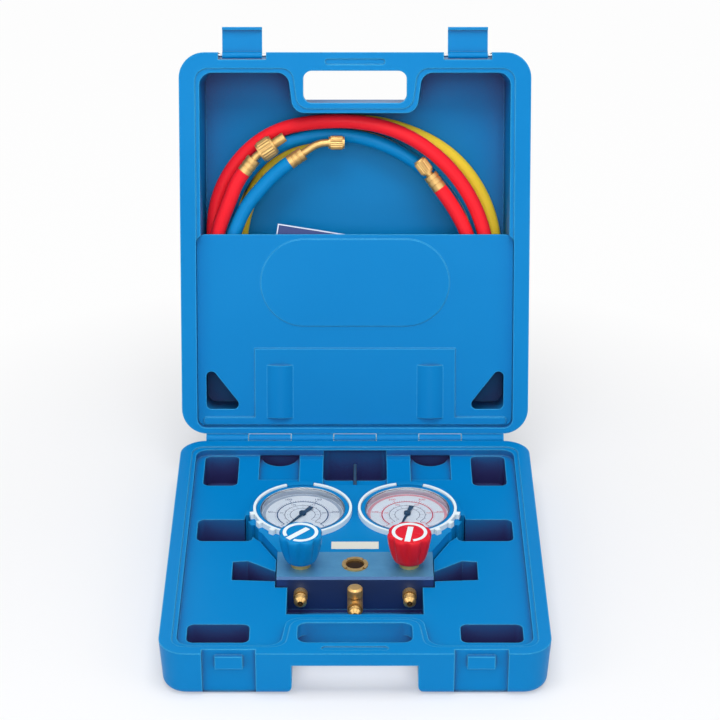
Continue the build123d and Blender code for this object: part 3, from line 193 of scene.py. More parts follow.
def blend_colours(tree, share, first, second):
    """A mix of two colours, each a socket or a fixed colour."""
    mix = tree.nodes.new("ShaderNodeMix")
    mix.data_type = "RGBA"
    tree.links.new(share, mix.inputs[0])
    for socket, colour in ((mix.inputs[6], first), (mix.inputs[7], second)):
        if isinstance(colour, tuple):
            socket.default_value = colour
        else:
            tree.links.new(colour, socket)
    return mix.outputs[2]


def tinted(colour, share):
    """A colour made darker or lighter, no channel above 1."""
    return tuple(min(1, share * channel) for channel in colour[:3]) + (1,)


def moulded_skin_group():
    """Colour, gloss and orange peel of a moulded skin, with painted shade in its hollows and a
    painted highlight along its edges.
    """
    group = bpy.data.node_groups.new("moulded_skin", "ShaderNodeTree")
    for name in ("Light Colour", "Deep Colour", "Hollow Colour", "Edge Colour"):
        group.interface.new_socket(name, in_out="INPUT", socket_type="NodeSocketColor")
    for name in ("Grain Size", "Roughness", "Hollow Reach", "Edge Radius"):
        group.interface.new_socket(name, in_out="INPUT", socket_type="NodeSocketFloat")
    group.interface.new_socket("Colour", in_out="OUTPUT", socket_type="NodeSocketColor")
    for name in ("Roughness", "Height"):
        group.interface.new_socket(name, in_out="OUTPUT", socket_type="NodeSocketFloat")
    group.interface.new_socket("Normal", in_out="OUTPUT", socket_type="NodeSocketVector")
    entry = group.nodes.new("NodeGroupInput")
    leave = group.nodes.new("NodeGroupOutput")
    place = group.nodes.new("ShaderNodeTexCoord")
    drift = add_node(group, "ShaderNodeTexNoise", Scale=9.0, Detail=3.0)
    peel = add_node(group, "ShaderNodeTexNoise", Detail=2.0)
    group.links.new(place.outputs["Object"], drift.inputs["Vector"])
    group.links.new(place.outputs["Object"], peel.inputs["Vector"])
    group.links.new(entry.outputs["Grain Size"], peel.inputs["Scale"])

    # Painted shade: where the moulding's own walls close round a point, its colour sinks towards
    # the hollow colour.
    hollow = group.nodes.new("ShaderNodeAmbientOcclusion")
    hollow.samples = 5
    hollow.only_local = True
    group.links.new(entry.outputs["Hollow Reach"], hollow.inputs["Distance"])
    open_share = add_node(group, "ShaderNodeMapRange", From_Min=0.22, From_Max=0.74)
    open_share.interpolation_type = "SMOOTHSTEP"
    group.links.new(hollow.outputs["AO"], open_share.inputs["Value"])

    # The bevel normal rounds the shading of the edges, and where it turns away from the face's
    # normal, the edge colour is laid along them as a painted highlight.
    rounded = group.nodes.new("ShaderNodeBevel")
    rounded.samples = 4
    group.links.new(entry.outputs["Edge Radius"], rounded.inputs["Radius"])
    shape = group.nodes.new("ShaderNodeNewGeometry")
    turn = group.nodes.new("ShaderNodeVectorMath")
    turn.operation = "DOT_PRODUCT"
    group.links.new(rounded.outputs["Normal"], turn.inputs[0])
    group.links.new(shape.outputs["Normal"], turn.inputs[1])
    edge_share = add_node(
        group, "ShaderNodeMapRange", From_Min=0.996, From_Max=0.93, To_Min=0.0, To_Max=0.9
    )
    group.links.new(turn.outputs["Value"], edge_share.inputs["Value"])

    tints = entry.outputs
    skin = blend_colours(group, drift.outputs["Fac"], tints["Light Colour"], tints["Deep Colour"])
    edge_highlit_skin = blend_colours(group, edge_share.outputs[0], skin, tints["Edge Colour"])
    colour = blend_colours(group, open_share.outputs[0], tints["Hollow Colour"], edge_highlit_skin)
    low = add_maths(group, "MULTIPLY", entry.outputs["Roughness"], 0.85)
    high = add_maths(group, "MULTIPLY", entry.outputs["Roughness"], 1.15)
    rough = add_node(group, "ShaderNodeMapRange", From_Min=0.3, From_Max=0.7)
    group.links.new(drift.outputs["Fac"], rough.inputs["Value"])
    group.links.new(low, rough.inputs["To Min"])
    group.links.new(high, rough.inputs["To Max"])
    group.links.new(colour, leave.inputs["Colour"])
    group.links.new(rough.outputs[0], leave.inputs["Roughness"])
    group.links.new(peel.outputs["Fac"], leave.inputs["Height"])
    group.links.new(rounded.outputs["Normal"], leave.inputs["Normal"])
    return group


moulded_skin = moulded_skin_group()


def moulded_plastic(
    name,
    light,
    deep,
    roughness,
    grain=900.0,
    relief=0.04,
    hollow=None,
    edge=None,
    reach=0.02,
    radius=0.0006,
):
    """Moulded plastic: drifting colour and gloss over a fine orange-peel skin, with painted shade
    in its hollows and a painted highlight along its edges.
    """
    material, tree, surface = new_material(name)
    skin = tree.nodes.new("ShaderNodeGroup")
    skin.node_tree = moulded_skin
    skin.inputs["Light Colour"].default_value = light
    skin.inputs["Deep Colour"].default_value = deep
    # The hollow colour is painted shade and the edge colour is a painted highlight. By default they
    # are the deep colour dimmed and the light colour lifted.
    skin.inputs["Hollow Colour"].default_value = hollow or tinted(deep, 0.35)
    skin.inputs["Edge Colour"].default_value = edge or tinted(light, 1.15)
    skin.inputs["Hollow Reach"].default_value = reach
    skin.inputs["Edge Radius"].default_value = radius
    skin.inputs["Grain Size"].default_value = grain
    skin.inputs["Roughness"].default_value = roughness
    bump = add_node(tree, "ShaderNodeBump", Strength=relief, Distance=0.0004)
    tree.links.new(skin.outputs["Colour"], surface.inputs["Base Color"])
    tree.links.new(skin.outputs["Roughness"], surface.inputs["Roughness"])
    tree.links.new(skin.outputs["Height"], bump.inputs["Height"])
    tree.links.new(skin.outputs["Normal"], bump.inputs["Normal"])
    tree.links.new(bump.outputs["Normal"], surface.inputs["Normal"])
    surface.inputs["Specular IOR Level"].default_value = skin_shine
    return material


def dress(node_name, material):
    """Give a carried-over solid its finish."""
    mesh = nodes[node_name].data
    mesh.materials.clear()
    mesh.materials.append(material)


def case_plastic(name, roughness, reach, radius):
    """The case's blue, with painted shade in its hollows and a painted highlight along its edges.
    """
    return moulded_plastic(
        name,
        case_blue,
        case_blue_deep,
        roughness,
        hollow=case_hollow_shade,
        edge=case_edge_highlight,
        reach=reach,
        radius=radius,
    )


shell_plastic = case_plastic("case_polyethylene", case_roughness, 0.060, 0.0016)
panel_plastic = case_plastic("panel_polyethylene", 0.36, 0.030, 0.0012)
latch_plastic = case_plastic("latch_polypropylene", 0.34, 0.020, 0.0010)
dress("case_base", shell_plastic)
dress("case_lid", shell_plastic)
dress("pocket_panel", panel_plastic)
for latch in ("latch_left", "latch_right"):
    dress(latch, latch_plastic)

# ---------------------------------------------------------------- hinge and latch pins
# Plain drawn steel wire, cut to length and pushed through the moulded knuckles. Fine lines run
# along the wire from the drawing die, and it has dulled a little.
wire_grey = (0.50, 0.51, 0.53, 1)
wire_dull = (0.36, 0.37, 0.39, 1)
# Painted shade for bores and grooves, and how far it reaches.
bore_shade = (0.030, 0.018, 0.010, 1)
bore_reach = 0.008
scratch_gloss = 0.18


def metal_finish_group():
    """Colour and roughness drift and fine scratches of a worked metal, with painted shade darkening
    its bores.
    """
    group = bpy.data.node_groups.new("metal_finish", "ShaderNodeTree")
    for name, kind in (("Bright", "NodeSocketColor"), ("Dull", "NodeSocketColor")):
        group.interface.new_socket(name, in_out="INPUT", socket_type=kind)
    for name in ("Scratch Size", "Roughness", "Patch Size"):
        group.interface.new_socket(name, in_out="INPUT", socket_type="NodeSocketFloat")
    group.interface.new_socket("Stretch", in_out="INPUT", socket_type="NodeSocketVector")
    group.interface.new_socket("Colour", in_out="OUTPUT", socket_type="NodeSocketColor")
    for name in ("Roughness", "Height"):
        group.interface.new_socket(name, in_out="OUTPUT", socket_type="NodeSocketFloat")
    entry = group.nodes.new("NodeGroupInput")
    leave = group.nodes.new("NodeGroupOutput")
    place = group.nodes.new("ShaderNodeTexCoord")
    along = group.nodes.new("ShaderNodeVectorMath")
    along.operation = "MULTIPLY"
    patch = add_node(group, "ShaderNodeTexNoise", Detail=4.0)
    line = add_node(group, "ShaderNodeTexNoise", Detail=2.0)
    group.links.new(place.outputs["Object"], patch.inputs["Vector"])
    group.links.new(place.outputs["Object"], along.inputs[0])
    group.links.new(entry.outputs["Stretch"], along.inputs[1])
    group.links.new(along.outputs[0], line.inputs["Vector"])
    group.links.new(entry.outputs["Scratch Size"], line.inputs["Scale"])
    group.links.new(entry.outputs["Patch Size"], patch.inputs["Scale"])
    tint = blend_colours(
        group, patch.outputs["Fac"], entry.outputs["Bright"], entry.outputs["Dull"]
    )
    rough = add_maths(
        group, "MULTIPLY_ADD", line.outputs["Fac"], scratch_gloss, entry.outputs["Roughness"]
    )

    # Painted shade: where the metal's own walls close round a point, in bores and grooves, the
    # colour turns dark brown.
    hollow = group.nodes.new("ShaderNodeAmbientOcclusion")
    hollow.samples = 4
    hollow.only_local = True
    hollow.inputs["Distance"].default_value = bore_reach
    open_share = add_node(group, "ShaderNodeMapRange", From_Min=0.15, From_Max=0.60)
    group.links.new(hollow.outputs["AO"], open_share.inputs["Value"])
    colour = blend_colours(group, open_share.outputs[0], bore_shade, tint)
    group.links.new(colour, leave.inputs["Colour"])
    group.links.new(rough, leave.inputs["Roughness"])
    group.links.new(line.outputs["Fac"], leave.inputs["Height"])
    return group


metal_finish = metal_finish_group()


def worked_metal(
    name, bright, dull, roughness, scratch=900.0, stretch=(1, 1, 1), relief=0.05, shine=1.0
):
    """Metal with patches of dulling and fine tool lines."""
    material, tree, surface = new_material(name)
    finish = tree.nodes.new("ShaderNodeGroup")
    finish.node_tree = metal_finish
    finish.inputs["Bright"].default_value = bright
    finish.inputs["Dull"].default_value = dull
    finish.inputs["Scratch Size"].default_value = scratch
    finish.inputs["Patch Size"].default_value = 120.0
    finish.inputs["Roughness"].default_value = roughness
    finish.inputs["Stretch"].default_value = stretch
    bump = add_node(tree, "ShaderNodeBump", Strength=relief, Distance=0.0002)
    tree.links.new(finish.outputs["Colour"], surface.inputs["Base Color"])
    tree.links.new(finish.outputs["Roughness"], surface.inputs["Roughness"])
    tree.links.new(finish.outputs["Height"], bump.inputs["Height"])
    tree.links.new(bump.outputs["Normal"], surface.inputs["Normal"])
    surface.inputs["Metallic"].default_value = shine
    return material


drawn_wire = worked_metal("drawn_wire", wire_grey, wire_dull, 0.30, stretch=(0.05, 1, 1))
for pin in ("hinge_pin", "latch_pins"):
    dress(pin, drawn_wire)

# ---------------------------------------------------------------- charging hoses
# Three extruded rubber charging hoses, red, blue and yellow, 13.5 mm thick, coiled round the lid
# one behind the other. Their skins are smooth with a soft shine, and painted shade darkens them
# where a hose closes in on itself.
hose_radius = 0.00675
coil_centre = (-0.005, 0.166)
hinge_line = Vector((0, 0.1856, 0.0435))
hinge_offset = 0.0046
lean = math.radians(18.75)
lid_up = Vector((0, math.sin(lean), math.cos(lean)))
lid_out = Vector((0, -math.cos(lean), math.sin(lean)))
# angle round the coil in degrees, distance from its centre, depth behind the lid's rim
red_run = [
    (140.5, 0.1298, 0.0160),
    (145.3, 0.1298, 0.0160),
    (154, 0.1265, 0.0160),
    (168, 0.1285, 0.0202),
    (184, 0.1310, 0.0202),
    (207.7, 0.1317, 0.0200),
    (235.4, 0.1327, 0.0200),
    (263.1, 0.1348, 0.0200),
    (290.8, 0.1379, 0.0200),
    (318.5, 0.1389, 0.0200),
    (346.2, 0.1379, 0.0200),
    (373.8, 0.1332, 0.0200),
    (401.5, 0.1310, 0.0200),
    (429.2, 0.1325, 0.0200),
    (456.9, 0.1340, 0.0245),
    (484.6, 0.1455, 0.0342),
    (512.3, 0.1440, 0.0342),
    (540.0, 0.1325, 0.0342),
    (567.7, 0.1337, 0.0342),
    (595.4, 0.1337, 0.0342),
    (623.1, 0.1327, 0.0342),
    (650.8, 0.1245, 0.0310),
    (678.5, 0.1209, 0.0250),
    (706.2, 0.1204, 0.0200),
    (733.8, 0.1190, 0.0200),
    (758, 0.1085, 0.0200),
]
blue_run = [
    (122, 0.1076, 0.0215),
    (127.9, 0.1077, 0.0215),
    (138.5, 0.1075, 0.0215),
    (157, 0.1125, 0.0210),
    (180.0, 0.1170, 0.0200),
    (207.7, 0.1173, 0.0200),
    (235.4, 0.1173, 0.0200),
    (263.1, 0.1152, 0.0200),
    (290.8, 0.1080, 0.0240),
    (318.5, 0.1039, 0.0310),
    (346.2, 0.1091, 0.0342),
    (373.8, 0.1160, 0.0342),
    (401.5, 0.1125, 0.0342),
    (429.2, 0.1140, 0.0342),
    (456.9, 0.1210, 0.0342),
    (484.6, 0.1305, 0.0342),
    (512.3, 0.1290, 0.0342),
    (540.0, 0.1188, 0.0342),
    (567.7, 0.1163, 0.0342),
    (592, 0.1080, 0.0342),
]
yellow_run = [
    (523, 0.1195, 0.0484),
    (504, 0.1300, 0.0484),
    (484.6, 0.1380, 0.0484),
    (456.9, 0.1317, 0.0484),
    (429.2, 0.1337, 0.0484),
    (401.5, 0.1415, 0.0484),
    (373.8, 0.1440, 0.0484),
    (346.2, 0.1435, 0.0484),
    (318.5, 0.1358, 0.0484),
    (290.8, 0.1286, 0.0484),
    (263.1, 0.1235, 0.0484),
    (235.4, 0.1163, 0.0484),
    (207.7, 0.1091, 0.0484),
    (180.0, 0.1075, 0.0484),
    (152.3, 0.1125, 0.0484),
    (124.6, 0.1195, 0.0484),
    (96.9, 0.1223, 0.0484),
    (69.2, 0.1130, 0.0484),
    (41.5, 0.1120, 0.0484),
    (13.8, 0.1165, 0.0484),
    (-13.8, 0.1204, 0.0484),
    (-41.5, 0.1132, 0.0484),
    (-69.2, 0.1055, 0.0484),
    (-96.9, 0.0977, 0.0484),
    (-121.5, 0.0890, 0.0484),
]


def lid_point(x, up, depth):
    """A point of the open lid: up from its hinge side edge, depth behind its rim."""
    return hinge_line + Vector((x, 0, 0)) + lid_up * (hinge_offset + up) - lid_out * depth


def hose_rubber(name, bright, worn):
    """Smooth extruded rubber, with painted shade where its own turns close in."""
    return moulded_plastic(
        name, bright, worn, 0.33, grain=1400.0, relief=0.03, reach=0.008, radius=0.0001
    )


hoses = [
    ("red", red_run, 1.393, (0.96, 0.020, 0.034, 1), (0.84, 0.014, 0.026, 1)),
    ("blue", blue_run, 0.931, (0.002, 0.240, 0.580, 1), (0.002, 0.205, 0.510, 1)),
    ("yellow", yellow_run, 1.337, (1.00, 0.71, 0.050, 1), (0.98, 0.66, 0.040, 1)),
]
for colour, run, length, bright, worn in hoses:
    curve = bpy.data.curves.new(f"{colour}_charging_hose", "CURVE")
    curve.dimensions = "3D"
    line = curve.splines.new("NURBS")
    line.points.add(len(run) - 1)
    for point, (angle, distance, depth) in zip(line.points, run):
        turn = math.radians(angle)
        x = coil_centre[0] + distance * math.cos(turn)
        up = coil_centre[1] + distance * math.sin(turn)
        point.co = (*lid_point(x, up, depth), 1)
    line.order_u = 3
    line.use_endpoint_u = True
    line.resolution_u = 16
    curve.bevel_depth = hose_radius
    curve.bevel_resolution = 7
    curve.use_fill_caps = True
    curve.materials.append(hose_rubber(f"{colour}_rubber", bright, worn))
    hose = bpy.data.objects.new(f"{colour}_charging_hose", curve)
    bpy.context.scene.collection.objects.link(hose)
    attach(hose, "case_lid")
    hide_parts(f"{colour}_hose")

# ---------------------------------------------------------------- brass hose ends
# Turned and knurled brass, left bright: crimped ferrules, bent tail pipes and the coupling nuts
# that spin on them. Painted shade darkens the brass in its bores and grooves.
brass_bright = (0.80, 0.52, 0.19, 1)
brass_dull = (0.46, 0.27, 0.09, 1)
brass_shine = 0.72
turned_brass = worked_metal("turned_brass", brass_bright, brass_dull, 0.30, shine=brass_shine)
for node_name in sorted(nodes):
    if node_name.endswith(("_ferrules", "_nuts", "_bent_pipe", "_adapter")):
        dress(node_name, turned_brass)

# ---------------------------------------------------------------- leaflet
# One folded sheet of coated dark blue paper slipped behind the pocket panel, left blank but for a
# pale line along its edges.
leaflet_face = (0.012, 0.030, 0.150, 1)
leaflet_worn = (0.020, 0.045, 0.190, 1)
leaflet_edge = (0.70, 0.75, 0.85, 1)
leaflet_size = (0.100, 0.130)
leaflet_turn = math.radians(-9)
edge_line = 0.0011
material, tree, surface = new_material("leaflet_paper")
fibre = add_node(tree, "ShaderNodeTexNoise", Scale=600.0, Detail=4.0)
fibre_place = tree.nodes.new("ShaderNodeTexCoord")
tree.links.new(fibre_place.outputs["Object"], fibre.inputs["Vector"])
paper = blend_colours(tree, fibre.outputs["Fac"], leaflet_face, leaflet_worn)
low_corner, high_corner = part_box("leaflet")
centre = (low_corner + high_corner) / 2
across = Vector((math.cos(leaflet_turn), 0, 0)) + lid_up * math.sin(leaflet_turn)
along = Vector((-math.sin(leaflet_turn), 0, 0)) + lid_up * math.cos(leaflet_turn)
from_centre = tree.nodes.new("ShaderNodeVectorMath")
from_centre.operation = "SUBTRACT"
from_centre.inputs[1].default_value = centre
tree.links.new(fibre_place.outputs["Object"], from_centre.inputs[0])
margins = []
for direction, size in zip((across, along), leaflet_size):
    measure = tree.nodes.new("ShaderNodeVectorMath")
    measure.operation = "DOT_PRODUCT"
    measure.inputs[1].default_value = direction
    tree.links.new(from_centre.outputs[0], measure.inputs[0])
    reach = add_maths(tree, "ABSOLUTE", measure.outputs["Value"])
    margins.append(add_maths(tree, "GREATER_THAN", reach, size / 2 - edge_line))
border = add_maths(tree, "MAXIMUM", *margins)
bordered_paper = blend_colours(tree, border, paper, leaflet_edge)
tree.links.new(bordered_paper, surface.inputs["Base Color"])
fibre_bump = add_node(tree, "ShaderNodeBump", Strength=0.05, Distance=0.0002)
tree.links.new(fibre.outputs["Fac"], fibre_bump.inputs["Height"])
tree.links.new(fibre_bump.outputs["Normal"], surface.inputs["Normal"])
surface.inputs["Roughness"].default_value = 0.5
dress("leaflet", material)

# ---------------------------------------------------------------- manifold block
# A length of aluminium bar, sawn, drilled and anodised blue. The dye keeps the metal's shine, so
# the block looks pale where it faces the sky, and its front faces are painted nearly navy, as
# shade.
block_bright = (0.120, 0.360, 0.560, 1)
block_deep = (0.080, 0.280, 0.480, 1)
block_front_shade = (0.030, 0.060, 0.180, 1)
anodised = worked_metal(
    "blue_anodising",
    block_bright,
    block_deep,
    0.38,
    scratch=500.0,
    stretch=(0.06, 1, 1),
    shine=0.55,
)
tree = anodised.node_tree
surface = tree.nodes["Principled BSDF"]
# Painted shade: faces turned to the front take the dark navy colour.
finish_colour = surface.inputs["Base Color"].links[0].from_socket
shape = tree.nodes.new("ShaderNodeNewGeometry")
facing = tree.nodes.new("ShaderNodeSeparateXYZ")
tree.links.new(shape.outputs["Normal"], facing.inputs["Vector"])
front_shade_share = add_node(tree, "ShaderNodeMapRange", From_Min=-0.3, From_Max=-0.8)
tree.links.new(facing.outputs["Y"], front_shade_share.inputs["Value"])
front_shaded = blend_colours(tree, front_shade_share.outputs[0], finish_colour, block_front_shade)
tree.links.new(front_shaded, surface.inputs["Base Color"])
dress("manifold_block", anodised)

# ---------------------------------------------------------------- gauge housing
# One soft rubber moulding holds both gauges and guards their rims. It is the same blue as the
# case and has a matt skin.
housing_rubber = moulded_plastic(
    "housing_rubber", (0.003, 0.235, 0.560, 1), (0.002, 0.200, 0.500, 1), 0.46, grain=1500.0
)
dress("gauge_housing", housing_rubber)

# ---------------------------------------------------------------- bezel rings
# Cool white rings moulded from harder plastic and pressed into the rubber, with teeth that key
# into the grip ribs.
ring_plastic = moulded_plastic(
    "ring_plastic", (0.84, 0.92, 0.93, 1), (0.78, 0.88, 0.90, 1), 0.32, grain=1500.0
)
dress("low_bezel_ring", ring_plastic)
dress("high_bezel_ring", ring_plastic)

# ---------------------------------------------------------------- gauge cases and works
# Pressed steel cans, their inside wall bright all round the dial. The brass socket, the flattened
# bronze tube and the small brass movement sit out of sight below the dial.
movement_bright = (0.80, 0.60, 0.28, 1)
movement_dull = (0.66, 0.47, 0.20, 1)
can_steel = worked_metal("can_steel", (0.70, 0.71, 0.73, 1), (0.58, 0.59, 0.61, 1), 0.26)
movement_brass = worked_metal("movement_brass", movement_bright, movement_dull, 0.30)
tube_bronze = worked_metal("tube_bronze", (0.70, 0.44, 0.22, 1), (0.56, 0.34, 0.16, 1), 0.30)
needle_paint = moulded_plastic(
    "needle_paint", (0.020, 0.020, 0.024, 1), (0.030, 0.030, 0.034, 1), 0.45, grain=2500.0
)
for side in ("low", "high"):
    dress(f"{side}_gauge_case", can_steel)
    dress(f"{side}_gauge_socket", turned_brass)
    dress(f"{side}_movement", movement_brass)
    dress(f"{side}_bourdon_tube", tube_bronze)
    dress(f"{side}_needle", needle_paint)

# ---------------------------------------------------------------- dials and their scales
# White lacquered aluminium discs with the scales printed on. The low side is printed in slate
# blue and the high side in red, each with a pressure scale outside and a finer one inside.
dial_white = (0.78, 0.82, 0.86, 1)
dial_worn = (0.82, 0.85, 0.88, 1)
low_ink = (0.012, 0.045, 0.160, 1)
low_wash = (0.42, 0.48, 0.58, 1)
high_ink = (0.760, 0.030, 0.050, 1)
high_wash = (0.86, 0.36, 0.38, 1)
grey_ink = (0.200, 0.220, 0.280, 1)
ink_lift = 0.00006
scale_start = 225.0  # clockwise from the top of the dial
scale_sweep = 270.0
number_size = 0.0045
outer_arc = 0.0225  # these radii are from the dial's centre
outer_numbers = 0.0300
lower_numbers = 0.0195
middle_arc = 0.0160
middle_numbers = 0.0138
inner_arc = 0.0110
wash_start = 0.0335
wash_end = 0.0365
dial_lacquer = moulded_plastic("dial_lacquer", dial_white, dial_worn, 0.35, grain=3000.0)


def ink(name, colour):
    """Matt printing ink, slightly uneven."""
    return moulded_plastic(name, colour, tinted(colour, 0.85), 0.6, grain=4000.0)


def bar(work, centre, angle, near, far, width):
    """A printed stroke pointing outwards from a dial's centre."""
    turn = math.radians(angle)
    out = Vector((math.sin(turn), math.cos(turn), 0))
    side = Vector((out.y, -out.x, 0)) * width / 2
    corners = [out * near - side, out * near + side, out * far + side, out * far - side]
    work.faces.new([work.verts.new(centre + corner) for corner in reversed(corners)])


def band(work, centre, start, sweep, near, far, steps):
    """A printed arc."""
    rows = []
    for i in range(steps + 1):
        turn = math.radians(start + sweep * i / steps)
        out = Vector((math.sin(turn), math.cos(turn), 0))
        rows.append((work.verts.new(centre + out * near), work.verts.new(centre + out * far)))
    for (a, b), (c, d) in zip(rows, rows[1:]):
        work.faces.new((a, b, d, c))


def print_scale(work, centre, ring, weight, major, minor, tick):
    """One scale: its arc, long strokes and short ones between them."""
    band(work, centre, scale_start, scale_sweep, ring, ring + weight, 96)
    for i in range(major * minor + 1):
        angle = scale_start + scale_sweep * i / (major * minor)
        long_stroke = i % minor == 0
        reach = tick if long_stroke else tick * 0.6
        bar(work, centre, angle, ring, ring + reach, 0.0006 if long_stroke else 0.0003)


def print_numbers(work, centre, ring, values, size):
    """Plain numbers set upright round a scale."""
    for i, value in enumerate(values):
        letters = bpy.data.curves.new("dial_number", "FONT")
        letters.body = str(value)
        letters.size = size
        letters.align_x = "CENTER"
        letters.align_y = "CENTER"
        holder = bpy.data.objects.new("dial_number", letters)
        turn = math.radians(scale_start + scale_sweep * i / (len(values) - 1))
        holder.location = centre + Vector((math.sin(turn), math.cos(turn), 0)) * ring
        bpy.context.scene.collection.objects.link(holder)
        bpy.context.view_layer.update()
        mesh = bpy.data.meshes.new_from_object(holder)
        mesh.transform(holder.matrix_world)
        work.from_mesh(mesh)
        bpy.data.meshes.remove(mesh)
        bpy.data.objects.remove(holder)
        bpy.data.curves.remove(letters)


def outer_scale(work, face, values):
    """The bold pressure scale, numbered on both sides of its arc."""
    intervals = len(values) - 1
    print_scale(work, face, outer_arc, weight=0.0011, major=intervals, minor=10, tick=0.0048)
    print_numbers(work, face, outer_numbers, values, number_size)
    print_numbers(work, face, lower_numbers, values, number_size * 0.7)


def inner_scales(work, face, values):
    """Two fine scales inside the bold one, with small numbers between them."""
    intervals = 2 * len(values)
    print_scale(work, face, middle_arc, weight=0.0005, major=intervals, minor=5, tick=0.0018)
    print_scale(work, face, inner_arc, weight=0.0004, major=intervals, minor=4, tick=0.0014)
    print_numbers(work, face, middle_numbers, range(intervals + 1), number_size * 0.42)


def edge_wash(work, face):
    """The tinted band round the dial's edge."""
    band(work, face, 0, 360, wash_start, wash_end, 120)


dial_prints = [
    ("low", low_ink, low_wash, [0, 50, 100, 150, 200, 250]),
    ("high", high_ink, high_wash, [0, 100, 200, 300, 400, 500]),
]
for side, colour, wash, values in dial_prints:
    low_corner, high_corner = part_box(f"{side}_dial")
    middle = (low_corner + high_corner) / 2
    face = Vector((middle.x, middle.y, high_corner.z + ink_lift))
    dress(f"{side}_dial", dial_lacquer)
    prints = [
        ("outer_scale", colour, lambda work: outer_scale(work, face, values)),
        ("inner_scale", grey_ink, lambda work: inner_scales(work, face, values)),
        ("edge_band", wash, lambda work: edge_wash(work, face)),
    ]
    for print_name, ink_colour, build in prints:
        printed = mesh_object(f"{side}_{print_name}", build)
        printed.data.materials.append(ink(f"{side}_{print_name}_ink", ink_colour))
        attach(printed, "manifold")

# ---------------------------------------------------------------- gauge lenses and sight glass
# Clear polished acrylic discs over the dials. The thick glass under the brass ring in the block is
# an opaque glossy disc painted dark, as shade, since nothing behind it catches the light.


def clear_pane(name, tint, roughness):
    """Clear glazing."""
    material, tree, surface = new_material(name)
    surface.inputs["Base Color"].default_value = tint
    surface.inputs["Roughness"].default_value = roughness
    surface.inputs["Transmission Weight"].default_value = 1.0
    surface.inputs["IOR"].default_value = 1.45
    return material


lens_acrylic = clear_pane("lens_acrylic", (0.98, 0.99, 1.0, 1), 0.02)
dress("low_lens", lens_acrylic)
dress("high_lens", lens_acrylic)
# The sight glass's dark colour is painted shade.
sight_glass_shade = moulded_plastic(
    "sight_glass_shade", (0.050, 0.026, 0.010, 1), (0.025, 0.014, 0.006, 1), 0.10, grain=300.0
)
dress("sight_glass", sight_glass_shade)
dress("sight_glass_ring", turned_brass)

# ---------------------------------------------------------------- valves
# Brass bonnets screwed into the block, steel stems, and lobed hand wheels moulded in blue for the
# low side and red for the high side. A white insert on each shows which way the wheel points.
stem_steel = worked_metal("stem_steel", (0.62, 0.63, 0.64, 1), (0.50, 0.51, 0.52, 1), 0.25)
knob_materials = {
    "low": moulded_plastic(
        "knob_blue", (0.003, 0.250, 0.590, 1), (0.003, 0.210, 0.510, 1), 0.28, grain=1800.0
    ),
    "high": moulded_plastic(
        "knob_red", (0.78, 0.020, 0.036, 1), (0.68, 0.014, 0.026, 1), 0.28, grain=1800.0
    ),
}
knob_lobes = 8
knob_groove = 0.0021  # depth of each finger groove
groove_share = 0.34  # of the lobe pitch
knob_steps = 192
knob_turns = {"low": 226, "high": 262}
knob_profile = [  # share of the radius, share of the height, share of the groove's depth
    (0.20, 0.00, 0.0),
    (0.60, 0.00, 0.0),
    (0.68, 0.02, 0.0),
    (0.745, 0.10, 0.15),
    (0.825, 0.26, 0.60),
    (0.890, 0.44, 1.0),
    (0.940, 0.60, 1.0),
    (0.972, 0.76, 1.0),
    (0.990, 0.88, 1.0),
    (0.975, 0.955, 0.9),
    (0.930, 0.993, 0.6),
    (0.880, 1.0, 0.2),
    (0.20, 1.0, 0.0),
]


def hand_wheel(work, low, high, turn):
    """A lobed hand wheel filling the box from low to high, its lobes turned by an angle."""
    centre = (low + high) / 2
    radius = (high.x - low.x) / 2
    rings = []
    for reach, rise, groove in knob_profile:
        ring = []
        for i in range(knob_steps):
            angle = 2 * math.pi * i / knob_steps
            phase = (angle - math.radians(turn)) * knob_lobes / (2 * math.pi) % 1.0
            near = min(phase, 1 - phase) / groove_share
            depth = knob_groove * groove * (0.5 + 0.5 * math.cos(math.pi * near)) if near < 1 else 0
            r = radius * reach - depth
            point = (centre.x + r * math.cos(angle), centre.y + r * math.sin(angle))
            ring.append(work.verts.new((*point, low.z + (high.z - low.z) * rise)))
        rings.append(ring)
    for lower, upper in zip(rings, rings[1:]):
        for i in range(knob_steps):
            j = (i + 1) % knob_steps
            work.faces.new((lower[i], lower[j], upper[j], upper[i]))
    work.faces.new(list(reversed(rings[0])))
    work.faces.new(rings[-1])


for side, knob_plastic in knob_materials.items():
    dress(f"{side}_valve_bonnet", turned_brass)
    dress(f"{side}_valve_stem", stem_steel)
    dress(f"{side}_knob_insert", ring_plastic)
    knob_low, knob_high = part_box(f"{side}_knob")
    wheel = mesh_object(
        f"{side}_hand_wheel",
        lambda work: hand_wheel(work, knob_low, knob_high, knob_turns[side]),
    )
    for polygon in wheel.data.polygons:
        polygon.use_smooth = True
    wheel.data.materials.append(knob_plastic)
    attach(wheel, f"{side}_knob")
    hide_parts(f"{side}_knob")

# ---------------------------------------------------------------- flare ports
# Turned brass unions screwed into the block's front, each with a rolled 7/16 thread behind its
# flare cone. The centre one carries the charging valve under a domed cap.
thread_pitch = 0.00127
side_thread_span = (-0.0795, -0.0731)  # from the outer end to the block, along Y
centre_thread_span = (-0.0980, -0.0931)


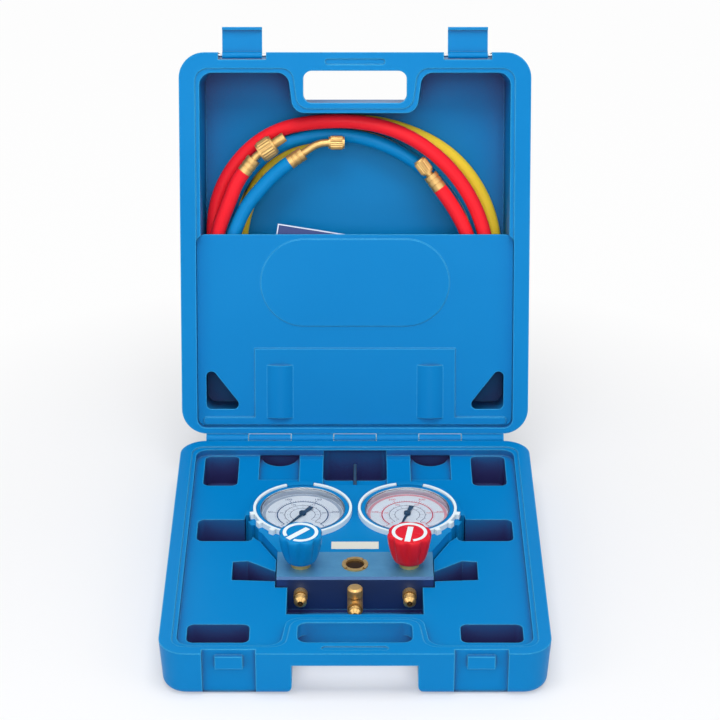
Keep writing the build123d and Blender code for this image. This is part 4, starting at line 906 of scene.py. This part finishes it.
def threaded_brass(name, thread_end, thread_start):
    """Brass with the crests of a rolled thread between two places along Y."""
    material, tree, surface = new_material(name)
    finish = tree.nodes.new("ShaderNodeGroup")
    finish.node_tree = metal_finish
    finish.inputs["Bright"].default_value = brass_bright
    finish.inputs["Dull"].default_value = brass_dull
    finish.inputs["Scratch Size"].default_value = 900.0
    finish.inputs["Patch Size"].default_value = 150.0
    finish.inputs["Roughness"].default_value = 0.20
    finish.inputs["Stretch"].default_value = (1, 1, 1)
    place = tree.nodes.new("ShaderNodeTexCoord")
    split = tree.nodes.new("ShaderNodeSeparateXYZ")
    tree.links.new(place.outputs["Object"], split.inputs[0])
    along = split.outputs["Y"]
    crest = add_maths(tree, "MULTIPLY", along, 2 * math.pi / thread_pitch)
    inside = add_maths(
        tree,
        "MULTIPLY",
        add_maths(tree, "GREATER_THAN", along, thread_end),
        add_maths(tree, "LESS_THAN", along, thread_start),
    )
    height = add_maths(tree, "MULTIPLY", add_maths(tree, "SINE", crest), inside)
    bump = add_node(tree, "ShaderNodeBump", Strength=0.9, Distance=0.0005)
    tree.links.new(height, bump.inputs["Height"])
    tree.links.new(finish.outputs["Colour"], surface.inputs["Base Color"])
    tree.links.new(finish.outputs["Roughness"], surface.inputs["Roughness"])
    tree.links.new(bump.outputs["Normal"], surface.inputs["Normal"])
    surface.inputs["Metallic"].default_value = brass_shine
    return material


side_thread = threaded_brass("side_port_thread", *side_thread_span)
dress("low_side_port", side_thread)
dress("high_side_port", side_thread)
dress("centre_tee", threaded_brass("centre_port_thread", *centre_thread_span))
dress("charge_valve_core", turned_brass)
dress("charge_cap", turned_brass)

# ---------------------------------------------------------------- label plate and hook
# A bare cream plate stuck on the web between the gauges, and the plated steel wire hook that
# swivels in a small brass bush at the back of the housing.
label_film = moulded_plastic(
    "label_film", (0.80, 0.78, 0.68, 1), (0.76, 0.74, 0.64, 1), 0.30, grain=2000.0
)
dress("label_plate", label_film)
dress("hook_bush", turned_brass)
dress("hook", worked_metal("plated_wire", (0.30, 0.30, 0.29, 1), (0.16, 0.16, 0.16, 1), 0.28))
